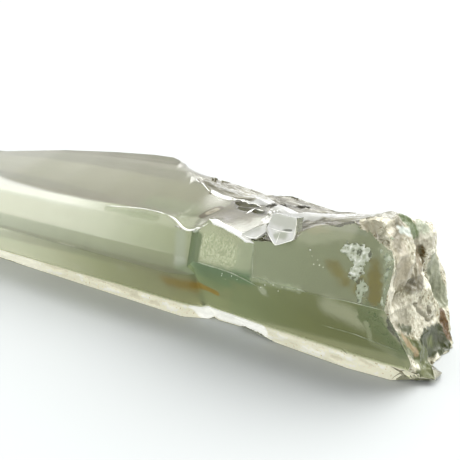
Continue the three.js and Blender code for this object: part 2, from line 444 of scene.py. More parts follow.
    def group(self, tree: bpy.types.NodeTree, inputs: dict) -> Socket:
        """Adds a node group with its values, for its first output."""
        node = self.node("ShaderNodeGroup", node_tree=tree)
        self.fill(node, inputs)
        return node.outputs[0]


class Recipe:
    """A new material, with its shader and its wiring.

    Args:
        name: the material's name.
    """

    def __init__(self, name: str) -> None:
        """Starts the material."""
        self.material = bpy.data.materials.new(name)
        self.material.use_nodes = True
        self.shader = self.material.node_tree.nodes["Principled BSDF"]
        self.wiring = Wiring(self.material.node_tree)

    def set(self, values: dict[str, object]) -> None:
        """Sets or links inputs of the shader, by name."""
        self.wiring.fill(self.shader, values)

    def glow(self, colour: Socket, strength: float) -> None:
        """Adds a painted glow in a colour, which stands in for light that the quartz carries to a surface
        from inside. It lights nothing else.
        """
        self.set({"Emission Color": colour, "Emission Strength": strength})
        self.material.cycles.emission_sampling = "NONE"

    def clear(self, see_through: float, roughness: float) -> None:
        """Makes it quartz, which bends light and tints it over its depth.

        Args:
            see_through: how much light goes through, from 0 to 1.
            roughness: how dull the surface is.
        """
        self.set({"Transmission Weight": see_through, "Roughness": roughness, "IOR": QUARTZ_BEND})
        inputs = {"Color": DEPTH_TINT, "Density": DEPTH_STRENGTH}
        depth = self.wiring.node("ShaderNodeVolumeAbsorption", inputs).outputs[0]
        self.wiring.fill(self.material.node_tree.nodes["Material Output"], {"Volume": depth})


def open_group(
    name: str, takes: dict[str, str], gives: dict[str, str], kind: str = "ShaderNodeTree"
) -> tuple[Wiring, dict[str, Socket], bpy.types.Node]:
    """Starts a node group.

    Args:
        name: the group's name.
        takes: its inputs, each with a type of socket.
        gives: its output, with a type of socket.
        kind: the type of node tree.

    Returns:
        The wiring, the inputs by name, and the output node.
    """
    tree = bpy.data.node_groups.new(name, kind)
    for sockets, way in ((takes, "INPUT"), (gives, "OUTPUT")):
        for socket, socket_kind in sockets.items():
            tree.interface.new_socket(socket, in_out=way, socket_type="NodeSocket" + socket_kind)
    wiring = Wiring(tree)
    inlet = wiring.node("NodeGroupInput").outputs
    return wiring, {socket: inlet[socket] for socket in takes}, wiring.node("NodeGroupOutput")


class Effects:
    """Shader node groups that several finishes share, each built once."""

    def __init__(self) -> None:
        """Builds every group."""
        self.spot = self.build_spot()
        self.streaks = self.build_streaks()
        self.crests = self.build_crests()
        self.flecks = self.build_flecks()

    @staticmethod
    def build_spot() -> bpy.types.NodeTree:
        """A soft rounded patch around the line between two points, with a wandering outline."""
        takes = dict.fromkeys(("Place", "Start", "End"), "Vector")
        takes |= dict.fromkeys(("Radius", "Fade", "Wander", "Grain"), "Float")
        wiring, given, out = open_group("soft_spot", takes, {"Mask": "Float"})
        along = wiring.vector("SUBTRACT", given["End"], given["Start"])
        offset = wiring.vector("SUBTRACT", given["Place"], given["Start"])
        reach, full = (wiring.measure("DOT_PRODUCT", vector, along) for vector in (offset, along))
        share = wiring.math("DIVIDE", reach, wiring.math("MAXIMUM", full, 0.001))
        share = wiring.node("ShaderNodeClamp", {"Value": share}).outputs[0]
        away = wiring.vector("SUBTRACT", offset, wiring.scaled(along, share))
        inputs = {"Vector": given["Place"], "Scale": given["Grain"], "Detail": 3.0}
        cloud = wiring.node("ShaderNodeTexNoise", inputs).outputs[0]
        shift = wiring.times(wiring.minus(cloud, 0.5), given["Wander"])
        distance = wiring.plus(wiring.measure("LENGTH", away), shift)
        inside = wiring.math("DIVIDE", wiring.minus(given["Radius"], distance), given["Fade"])
        wiring.fill(out, {"Mask": wiring.step(inside, -0.5, 0.5)})
        return wiring.tree

    @staticmethod
    def build_streaks() -> bpy.types.NodeTree:
        """Growth lines that run round the prism, square to its long axis."""
        takes = {"Place": "Vector", "Lines": "Float"}
        wiring, given, out = open_group("growth_lines", takes, {"Height": "Float"})
        spaced = wiring.scaled(given["Place"], given["Lines"])
        round_prism = wiring.vector("MULTIPLY", spaced, (1.0, 0.06, 0.06))
        wiring.fill(out, {"Height": wiring.noise(round_prism, 1.0, detail=3.0, seed=4.0)})
        return wiring.tree

    @staticmethod
    def build_crests() -> bpy.types.NodeTree:
        """Colours a rough surface by how high it stands, from pits over slopes to crests: partly the
        surface's own tones, partly painted shade in the hollows and painted highlight on the crests.
        """
        takes = dict.fromkeys(("Height", "Pit To", "Crest From"), "Float")
        takes |= dict.fromkeys(("Pit", "Slope", "Crest"), "Color")
        wiring, given, out = open_group("crests_and_pits", takes, {"Color": "Color"})
        colour = given["Pit"]
        for turn, lead, over in (("Pit To", 0.15, "Slope"), ("Crest From", 0.1, "Crest")):
            low, high = wiring.minus(given[turn], lead), wiring.plus(given[turn], 0.1)
            colour = wiring.mix(wiring.step(given["Height"], low, high), colour, given[over])
        wiring.fill(out, {"Color": colour})
        return wiring.tree

    @staticmethod
    def build_flecks() -> bpy.types.NodeTree:
        """Fine crisp flecks of one size."""
        takes = {"Place": "Vector", "Size": "Float", "Share": "Float"}
        wiring, given, out = open_group("fine_flecks", takes, {"Mask": "Float"})
        cloud = wiring.noise(given["Place"], wiring.math("DIVIDE", 1.0, given["Size"]), detail=4.0, seed=8.0)
        start = wiring.minus(0.66, wiring.times(given["Share"], 0.3))
        wiring.fill(out, {"Mask": wiring.step(cloud, start, wiring.plus(start, 0.06))})
        return wiring.tree


@dataclass(frozen=True)
class Band:
    """A stretch of the prism's faces, up to a height, with its shades along the crystal.

    Args:
        top: the height where it ends.
        fade: how far it blends into the next one, to each side of its top.
        shades: places along the crystal, each with its shade.
    """

    top: float
    fade: float
    shades: Stops


@dataclass(frozen=True)
class Spot:
    """A soft patch of another shade around the line between two points.

    Args:
        start: one end of the line.
        end: its other end.
        radius: how far the patch reaches from the line, to the middle of its outline.
        fade: how wide the soft outline is.
        shade: the shade of the patch.
        strength: how much of it shows, from 0 to 1.
        wander: how far the outline strays.
        grain: how many times it strays in each millimetre.
    """

    start: Triple
    end: Triple
    radius: float
    fade: float
    shade: Shade
    strength: float = 1.0
    wander: float = 1.0
    grain: float = 0.6


@dataclass
class Painter:
    """Lays shades over one material.

    Args:
        wiring: where to lay the nodes.
        effects: the shared node groups.
    """

    wiring: Wiring
    effects: Effects

    def __post_init__(self) -> None:
        """Finds the place in millimetres."""
        self.place_mm = self.wiring.millimetres()

    def mask(self, spot: Spot) -> Socket:
        """How much of a spot shows at the place."""
        inputs = {"Place": self.place_mm, "Start": spot.start, "End": spot.end, "Radius": spot.radius}
        inputs |= {"Fade": spot.fade, "Wander": spot.wander, "Grain": spot.grain}
        return self.wiring.group(self.effects.spot, inputs)

    def ladder(self, bands: tuple[Band, ...]) -> Socket:
        """Stacks bands of shades up the height of the prism, from the lowest to the highest."""
        x, _, z = self.wiring.axes(self.place_mm)
        colour = self.wiring.gradient(x, bands[0].shades)
        for below, band in zip(bands, bands[1:]):
            share = self.wiring.step(z, below.top - below.fade, below.top + below.fade)
            colour = self.wiring.mix(share, colour, self.wiring.gradient(x, band.shades))
        return colour

    def spotted(self, colour: Socket, spots: tuple[Spot, ...]) -> Socket:
        """Lays soft spots over a colour, in order."""
        for spot in spots:
            share = self.wiring.times(self.mask(spot), spot.strength)
            colour = self.wiring.mix(share, colour, paint(spot.shade))
        return colour


@dataclass(frozen=True)
class GreenQuartz:
    """Clear quartz, hazy and green from fine chlorite, as it shows on the grown prism faces, with painted
    light and shade laid over the faces in bands.
    """

    # How clear and how polished it is, and how deep the growth lines are.
    see_through: float = 0.8
    haze: float = 0.16
    polish: float = 0.35
    polish_haze: float = 0.04
    line_depth: float = 0.05
    line_strength: float = 0.25

    # Where the slim part ends, and which way faces look that take a shade of their own: the shelf facing up,
    # the painted shade of the step's face towards the point, and the back.
    zone_step: float = -31.9
    zone_blend: float = 0.3
    step_reach: tuple[float, float] = (4.0, 3.5)
    faces_up: tuple[float, float] = (0.7, 0.8)
    faces_point: tuple[float, float] = (0.35, 0.5)
    faces_back: tuple[float, float] = (0.3, 0.5)

    # The shades of the slim part, the stout part and its shelf, partly the quartz's own green and partly
    # painted light and shade, and a painted glow that stands in for light the quartz carries inside.
    # In the slim part the top faces are painted darker as shade and the band below the shoulder is a painted
    # reflection; the foot of both parts is painted light.
    slim: tuple[Band, ...] = (
        Band(2.0, 0.25, ((-80.0, (236, 235, 214)), (-33.0, (222, 219, 190)))),
        Band(8.9, 0.15, ((-76.0, (255, 255, 236)), (-52.0, (197, 205, 154)), (-36.0, (156, 159, 110)))),
        Band(11.4, 0.12, ((-76.0, (198, 203, 182)), (-52.0, (165, 172, 140)), (-38.0, (138, 144, 106)))),
        Band(15.0, 0.7, ((-76.0, (226, 224, 210)), (-52.0, (218, 219, 202)), (-36.0, (173, 179, 148)))),
        Band(16.4, 0.15, ((-80.0, (255, 255, 252)), (-60.0, (255, 255, 250)), (-49.0, (214, 215, 196)))),
        Band(30.0, 1.0, ((-78.0, (126, 123, 95)), (-50.0, (147, 141, 121)), (-38.0, (144, 139, 116)))),
    )
    stout: tuple[Band, ...] = (
        Band(2.0, 0.25, ((-30.0, (246, 246, 236)), (0.0, (222, 219, 190)))),
        Band(11.5, 0.12, ((-28.0, (138, 150, 104)), (-12.0, (121, 126, 76)), (0.0, (117, 125, 83)))),
        Band(30.0, 1.0, ((-28.0, (206, 210, 184)), (-20.9, (190, 196, 168)), (-20.7, (158, 163, 136)),
                         (-12.0, (150, 155, 126)), (0.0, (143, 148, 121)))),
    )
    shelf: Stops = (
        (-3.4, (172, 167, 146)), (1.0, (138, 128, 102)), (5.5, (102, 92, 64)), (8.0, (74, 64, 36)),
    )
    # A painted glow laid in bands on the far lower front and below the shoulder, standing in for light
    # carried inside the quartz.
    painted_glow: tuple[Band, ...] = (
        Band(2.2, 0.5, ((-80.0, BLACK), (0.0, BLACK))),
        Band(8.9, 0.3, ((-80.0, (104, 108, 92)), (-50.0, BLACK))),
        Band(15.2, 0.3, ((-80.0, BLACK), (-50.0, BLACK))),
        Band(16.4, 0.2, ((-80.0, (98, 98, 94)), (-60.0, (112, 110, 106)), (-46.0, BLACK))),
        Band(30.0, 1.0, ((-80.0, BLACK), (0.0, BLACK))),
    )

    # The painted shade of the step's face towards the point, the shade of the back, and the patches.
    step_face: Shade = (62, 88, 42)
    back_tint: Shade = (180, 191, 163)
    spots: tuple[Spot, ...] = (
        # The shoulder of the slim part, and a pale mark on the step.
        Spot((-51.5, -1.3, 15.9), (-41.0, -0.7, 15.6), 0.6, 0.6, (166, 174, 146), 0.8, 0.5),
        Spot((-35.2, -1.8, 14.2), (-33.9, -3.8, 10.8), 0.95, 1.0, (190, 196, 186), 0.85, 0.5),
        # Teal along the ridge beside the step.
        Spot((-30.4, -4.8, 10.8), (-21.0, -4.7, 10.9), 1.1, 1.0, (90, 127, 84), 0.95, 0.9),
        Spot((-30.2, -4.2, 9.4), (-25.0, -4.0, 9.4), 1.1, 1.8, (90, 124, 82), 0.9, 1.2),
        Spot((-30.8, -3.4, 7.8), (-27.0, -3.4, 8.2), 0.9, 1.2, (104, 130, 86), 0.8),
        # The ochre streak across the step.
        Spot((-36.4, -3.5, 7.2), (-32.2, -3.0, 6.8), 1.3, 1.8, (156, 126, 36), 0.9),
        Spot((-32.0, -3.0, 7.0), (-28.0, -2.7, 6.6), 0.6, 0.45, (146, 108, 14), 1.0, 0.6),
        # Pale marks along the ridge.
        Spot((-18.9, -4.3, 9.7), (-18.7, -4.2, 9.3), 0.6, 0.6, (216, 220, 204), 0.8, 1.2, 1.4),
        Spot((-20.0, -4.9, 11.2), (-13.0, -5.0, 11.4), 0.5, 0.6, (190, 198, 172), 0.8, 1.4, 1.2),
        # Ochre stains near the broken end, and the pale border there.
        Spot((-3.0, -3.8, 16.4), (-2.4, -4.4, 12.4), 1.0, 1.4, (122, 104, 8), 0.95, 3.2, 0.9),
        Spot((-4.9, -4.2, 14.6), (-4.6, -4.3, 13.2), 0.8, 1.2, (124, 108, 20), 0.8, 2.4, 0.9),
        Spot((-8.6, -4.0, 15.3), (-6.7, -4.0, 13.8), 0.9, 1.6, (126, 110, 24), 0.9, 2.8, 0.8),
        Spot((-1.6, -3.2, 17.0), (-0.8, -4.8, 11.8), 0.6, 0.5, (176, 182, 162), 0.85, 1.6, 1.0),
        Spot((-2.6, -2.6, 18.6), (-1.4, -3.0, 17.4), 0.7, 0.4, (206, 210, 190), 0.85, 2.0, 1.2),
        # Painted shade, dark green, on the upper part of the step.
        Spot((-30.2, -3.6, 15.2), (-30.1, -4.8, 12.2), 0.65, 0.5, (66, 92, 46), 0.9, 0.4),
        # The pale patch below the ridge, and the greens under the crust.
        Spot((-8.4, -4.5, 9.9), (-4.8, -4.1, 8.9), 1.5, 2.0, (206, 208, 190), 0.85, 1.0, 1.3),
        Spot((-2.6, -4.4, 9.9), (0.6, -2.8, 6.4), 2.0, 0.3, (112, 126, 86), 0.92, 2.6, 1.3),
        Spot((-4.2, -4.5, 10.4), (-3.6, -4.0, 8.8), 0.7, 0.3, (106, 120, 78), 0.8, 1.6, 1.6),
        Spot((-3.0, -2.9, 5.6), (0.8, -2.0, 4.6), 0.5, 0.6, (156, 162, 132), 0.7, 0.8),
        Spot((-1.0, -4.6, 10.6), (0.7, -3.2, 7.2), 0.6, 0.5, (186, 186, 164), 0.85, 1.0, 1.2),
        # Teal on the step.
        Spot((-33.6, -3.9, 9.8), (-31.0, -4.4, 10.2), 0.8, 1.8, (118, 144, 102), 0.6, 0.6),
        # A thin pale line, and the green corner below the crust.
        Spot((-3.6, -3.9, 8.8), (-3.3, -2.9, 6.0), 0.3, 0.4, (184, 190, 166), 0.85, 0.5, 1.2),
        Spot((0.4, -1.2, 4.4), (1.8, 1.6, 2.8), 1.0, 0.7, (92, 104, 64), 0.8, 1.6, 1.1),
        Spot((1.0, 3.4, 4.0), (1.8, 12.4, 2.6), 3.0, 0.6, (84, 92, 44), 0.95, 1.6),
        # The pit in the top face by the step: its ring and middle, then a painted shadow beside it.
        Spot((-33.4, 1.6, 16.9), (-32.4, 4.4, 17.2), 0.85, 0.2, (84, 64, 34), 0.95, 0.3),
        Spot((-33.1, 2.4, 17.0), (-32.5, 4.0, 17.2), 0.5, 0.25, (206, 190, 162), 0.9, 0.3),
        Spot((-32.9, 2.8, 17.1), (-32.6, 3.4, 17.2), 0.22, 0.2, (128, 106, 72), 0.8, 0.2),
        # A painted shadow of the pit.
        Spot((-33.4, 0.4, 16.4), (-33.2, -0.6, 15.9), 0.5, 0.7, (110, 108, 76), 0.7, 0.5),
        # The grey stretch of the top face.
        Spot((-44.0, 1.8, 17.1), (-36.5, 2.0, 17.0), 2.0, 2.4, (150, 158, 128), 0.6),
        # Pale marks on the front of the slim part.
        Spot((-46.6, -3.8, 6.9), (-45.8, -3.9, 7.1), 0.7, 0.6, (216, 220, 188), 0.6, 1.8, 1.6),
        Spot((-59.6, -5.0, 9.0), (-56.0, -5.0, 8.9), 0.3, 0.3, (246, 248, 222), 0.6, 0.6, 1.6),
        Spot((-59.6, -2.2, 4.0), (-58.4, -2.2, 4.2), 0.5, 0.5, (240, 242, 216), 0.5, 1.4, 1.6),
        # Painted highlights at the far end of the shelf.
        Spot((-25.4, 0.0, 17.3), (-22.6, -2.6, 17.0), 1.0, 1.6, (206, 205, 190), 0.6),
        Spot((-24.2, 2.8, 17.3), (-22.6, -1.4, 17.2), 0.7, 0.8, (206, 205, 190), 0.7, 1.0, 1.0),
        # The painted shade inside the hatched crack.
        Spot((-31.2, 7.6, 17.6), (-27.2, 7.3, 17.6), 1.0, 0.5, (58, 46, 16), 0.95, 0.4, 1.0),
        Spot((-29.9, 6.2, 17.6), (-26.9, 5.3, 17.5), 0.8, 0.4, (62, 52, 20), 0.95, 0.4, 1.0),
        Spot((-27.0, 5.7, 17.5), (-24.9, 5.0, 17.5), 0.9, 0.4, (52, 44, 16), 0.95, 0.4, 1.0),
        # The pale stretch beside the flakes, with a dark chip.
        Spot((-13.6, -3.0, 18.4), (-7.6, -2.4, 19.8), 1.3, 1.2, (200, 200, 180), 0.85, 1.4, 0.8),
        Spot((-14.6, -2.5, 19.2), (-13.0, -2.5, 19.5), 0.6, 0.4, (84, 90, 54), 0.95, 0.9, 1.2),
        Spot((-12.8, -2.6, 19.2), (-10.8, -2.4, 19.7), 0.75, 0.6, (216, 204, 184), 0.85, 1.2, 1.0),
        Spot((-10.4, -2.2, 20.0), (-7.0, -2.0, 20.6), 0.75, 0.7, (200, 198, 178), 0.8, 1.4, 0.9),
    )

    # The patch with a finely hammered look.
    hammered: Spot = Spot((-28.4, -4.2, 14.3), (-24.8, -4.2, 13.6), 2.0, 1.8, (242, 246, 222), 0.95, 1.2, 0.9)
    hammered_line: Shade = (180, 194, 156)
    dents_per_mm: float = 2.0
    dent_line: float = 0.1

    # The ripples on the shelf, the growth lines and the clouds.
    ring_middle: Triple = (-27.3, 0.6, 17.4)
    ring_pitch: float = 9.0
    ring_reach: float = 4.6
    ring_full: float = 1.2
    lines_per_mm: float = 1.4
    clouds_per_mm: float = 0.22
    threads_per_mm: float = 0.9
    thread_stretch: Triple = (0.06, 1.0, 1.0)
    cloud_dark: float = 0.73
    cloud_share: float = 0.26
    thread_share: float = 0.16
    line_share: float = 0.12

    def make(self, effects: Effects) -> bpy.types.Material:
        """Builds the material.

        Args:
            effects: the shared node groups.

        Returns:
            The finished material.
        """
        recipe = Recipe("green_quartz")
        wiring, painter = recipe.wiring, Painter(recipe.wiring, effects)
        lines = wiring.group(effects.streaks, {"Place": painter.place_mm, "Lines": self.lines_per_mm})
        patch = painter.mask(self.hammered)
        network = wiring.veins(painter.place_mm, self.dents_per_mm, self.dent_line, seed=6.0)
        hammered = wiring.mix(network, paint(self.hammered_line), paint(self.hammered.shade))
        colour = self.zones(painter)
        colour = wiring.mix(wiring.times(patch, self.hammered.strength), colour, hammered)
        colour = painter.spotted(colour, self.spots)
        to_back = wiring.step(wiring.facing()[1], *self.faces_back)
        colour = wiring.mix(to_back, colour, paint(self.back_tint))
        height = wiring.plus(wiring.times(patch, network), self.rings(painter))
        recipe.clear(self.see_through, self.haze)
        # A painted glow from the bands, standing in for light carried inside the quartz.
        recipe.glow(painter.ladder(self.painted_glow), 1.0)
        recipe.set({"Base Color": self.clouded(painter, lines, colour)})
        recipe.set({"Normal": wiring.bump(wiring.plus(lines, height), self.line_strength, self.line_depth)})
        recipe.set({"Coat Weight": self.polish, "Coat Roughness": self.polish_haze})
        return recipe.material

    def zones(self, painter: Painter) -> Socket:
        """Lays the shades of the slim zone, the painted shade of the step, the stout zone and its shelf."""
        wiring = painter.wiring
        x, y, _ = wiring.axes(painter.place_mm)
        facing = wiring.facing()
        stout, shelf = painter.ladder(self.stout), wiring.gradient(y, self.shelf)
        stout = wiring.mix(wiring.step(facing[2], *self.faces_up), stout, shelf)
        in_stout = wiring.step(x, self.zone_step - self.zone_blend, self.zone_step + self.zone_blend)
        colour = wiring.mix(in_stout, painter.ladder(self.slim), stout)
        near_step = wiring.step(x, *(self.zone_step - reach for reach in self.step_reach))
        to_point = wiring.step(wiring.times(facing[0], -1.0), *self.faces_point)
        return wiring.mix(wiring.times(to_point, near_step), colour, paint(self.step_face))

    def rings(self, painter: Painter) -> Socket:
        """Fine round ripples on the shelf, fading out away from their middle."""
        wiring = painter.wiring
        away = wiring.measure("DISTANCE", painter.place_mm, self.ring_middle)
        waves = wiring.math("SINE", wiring.times(away, self.ring_pitch))
        return wiring.times(wiring.times(wiring.step(away, self.ring_reach, self.ring_full), waves), 0.5)

    def clouded(self, painter: Painter, lines: Socket, colour: Socket) -> Socket:
        """Varies a colour with soft clouds, threads along the prism and lines round it."""
        wiring = painter.wiring
        drawn_out = wiring.vector("MULTIPLY", painter.place_mm, self.thread_stretch)
        threads = wiring.noise(drawn_out, self.threads_per_mm, detail=3.0, seed=9.0)
        clouds = wiring.noise(painter.place_mm, self.clouds_per_mm, detail=4.0, seed=2.0)
        total = wiring.times(clouds, self.cloud_share)
        total = wiring.plus(total, wiring.times(threads, self.thread_share))
        total = wiring.plus(total, wiring.times(lines, self.line_share))
        total = wiring.plus(total, self.cloud_dark)
        grey = wiring.node("ShaderNodeCombineColor", {0: total, 1: total, 2: total}).outputs[0]
        return wiring.mix(1.0, colour, grey, "MULTIPLY")


@dataclass(frozen=True)
class RoughQuartz:
    """Quartz with a rough surface: broken, bruised or crusted over.

    Args:
        name: the material's name.
        see_through: how much light goes through.
        roughness: how dull the surface is.
        crest: the colour where the surface stands high, partly a painted highlight.
        slope: the colour halfway.
        pit: the colour in the hollows, partly painted shade.
        crest_from: where on the way up from the hollows the crest colour starts, from 0 to 1.
        pit_to: where the colour of the hollows ends.
        fleck: the colour of fine flecks.
        fleck_share: how much of the surface is flecked, from 0 to 1.
        fleck_size: how large they are in millimetres.
        fine_share: how much the fine roughness weighs against the height of the surface.
        stretch: how the fine roughness is drawn out along X, Y and Z; below 1 is longer.
        bump: how deep the finest roughness is in millimetres.
        bump_strength: how strongly it shows.
        glow: the strength of a painted glow in the surface's colour, which stands in for light that the
            quartz carries to this surface from inside.
        gloss: how strongly the surface mirrors; 0.5 is plain quartz.
        upper: colour towards the top of the rim, and the shares of the way up where it starts and is full.
        spots: patches of other colours.
    """

    name: str
    see_through: float
    roughness: float
    crest: Shade
    slope: Shade
    pit: Shade
    crest_from: float = 0.6
    pit_to: float = 0.35
    fleck: Shade = (120, 110, 84)
    fleck_share: float = 0.0
    fleck_size: float = 0.4
    fine_share: float = 0.6
    stretch: Triple = (1.0, 1.0, 1.0)
    bump: float = 0.1
    bump_strength: float = 0.7
    glow: float = 0.0
    gloss: float = 0.5
    upper: tuple[Shade, float, float] | None = None
    spots: tuple[Spot, ...] = ()

    def make(self, effects: Effects) -> bpy.types.Material:
        """Builds the material.

        Args:
            effects: the shared node groups.

        Returns:
            The finished material.
        """
        recipe = Recipe(self.name)
        painter = Painter(recipe.wiring, effects)
        drawn = recipe.wiring.vector("MULTIPLY", painter.place_mm, self.stretch)
        fine = recipe.wiring.noise(drawn, 1.0 / self.fleck_size, detail=5.0, seed=5.0)
        colour = self.colour(painter, fine)
        recipe.clear(self.see_through, self.roughness)
        recipe.set({"Base Color": colour, "Specular IOR Level": self.gloss})
        recipe.set({"Normal": recipe.wiring.bump(fine, self.bump_strength, self.bump)})
        # The colour also goes in as a painted glow, standing in for light carried from inside.
        if self.glow > 0.0:
            recipe.glow(colour, self.glow)
        return recipe.material

    def colour(self, painter: Painter, fine: Socket) -> Socket:
        """Lays the colours of pits and crests, the flecks and the patches.

        Args:
            painter: what lays the shades.
            fine: the fine roughness, around 0.5.

        Returns:
            The colour at the place.
        """
        wiring, effects = painter.wiring, painter.effects
        finer = wiring.times(wiring.minus(fine, 0.5), self.fine_share)
        values = {"Height": wiring.plus(wiring.recorded(RELIEF), finer)}
        values |= {"Pit To": self.pit_to, "Crest From": self.crest_from}
        values |= {"Pit": paint(self.pit), "Slope": paint(self.slope), "Crest": paint(self.crest)}
        colour = wiring.group(effects.crests, values)
        if self.fleck_share > 0.0:
            values = {"Place": painter.place_mm, "Size": self.fleck_size, "Share": self.fleck_share}
            colour = wiring.mix(wiring.group(effects.flecks, values), colour, paint(self.fleck))
        colour = painter.spotted(colour, self.spots)
        if self.upper is not None:
            shade, low, high = self.upper
            colour = wiring.mix(wiring.step(wiring.recorded(RISE), low, high), colour, paint(shade))
        return colour


# The white crests of the broken top are painted highlights on its ripples.
BREAK = RoughQuartz(
    name="broken_quartz",
    see_through=0.5,
    roughness=0.05,
    crest=(255, 255, 253),
    slope=(178, 174, 154),
    pit=(100, 94, 68),
    crest_from=0.66,
    pit_to=0.42,
    fleck_size=0.8,
    fine_share=1.5,
    stretch=(0.16, 1.4, 0.9),
    bump=0.08,
    spots=(
        # The start of the break: a darker patch, then white.
        Spot((-43.0, 13.0, 19.4), (-35.0, 11.5, 18.2), 2.4, 1.6, (120, 116, 92), 0.7, 2.0, 0.8),
        Spot((-36.4, 8.6, 18.5), (-28.0, 9.2, 18.2), 0.8, 0.5, (255, 255, 253), 0.9, 0.3),
        Spot((-28.0, 9.2, 18.2), (-24.0, 8.6, 18.0), 0.7, 0.6, (255, 255, 253), 0.85, 0.5),
        # Bright grains, and the painted shade inside the open crack across.
        Spot((-24.5, 7.6, 17.9), (-21.5, 6.0, 17.9), 1.6, 1.6, (245, 245, 240), 0.6, 1.8, 1.2),
        Spot((-24.6, 5.4, 17.6), (-22.6, 1.6, 17.2), 1.0, 0.6, (244, 244, 238), 0.85, 1.0, 1.0),
        Spot((-25.3, 8.0, 17.8), (-21.9, 13.6, 17.0), 0.8, 0.5, (54, 46, 22), 0.95, 0.5, 1.0),
        # The middle and the end of the top.
        Spot((-19.0, 5.0, 18.4), (-15.0, 4.2, 19.2), 1.2, 0.8, (250, 250, 246), 0.8, 1.4, 0.8),
        Spot((-9.0, 2.0, 20.2), (-3.0, 3.0, 20.8), 1.8, 2.0, (166, 164, 142), 0.8),
        Spot((-12.4, -1.0, 19.8), (-8.0, -1.2, 20.3), 0.55, 0.5, (236, 234, 222), 0.8, 0.8),
    ),
)

# The flakes' whites stand partly for painted reflection on their glass.
FLAKE = RoughQuartz(
    name="glassy_flake",
    see_through=0.34,
    roughness=0.04,
    crest=(255, 255, 253),
    slope=(246, 246, 240),
    pit=(214, 214, 202),
    fleck_size=1.2,
    fine_share=1.2,
    bump=0.05,
    spots=(
        # Grey tops and feet, a dark line, and painted highlights along the edges.
        Spot((-18.0, -3.0, 19.8), (-15.6, -2.8, 19.5), 0.9, 0.7, (214, 216, 202), 0.85, 0.8, 1.0),
        Spot((-17.4, -3.4, 17.6), (-16.2, -3.4, 17.9), 0.5, 0.6, (192, 197, 176), 0.85, 0.6),
        Spot((-16.6, -3.1, 18.5), (-15.3, -2.9, 18.6), 0.12, 0.14, (104, 108, 92), 0.85, 0.2),
        Spot((-19.0, -3.0, 18.6), (-17.2, -3.9, 16.6), 0.2, 0.3, (255, 255, 255), 0.9, 0.2),
        Spot((-22.6, -3.4, 17.4), (-20.4, -3.5, 18.2), 0.5, 0.8, (206, 208, 194), 0.8, 0.6),
    ),
)

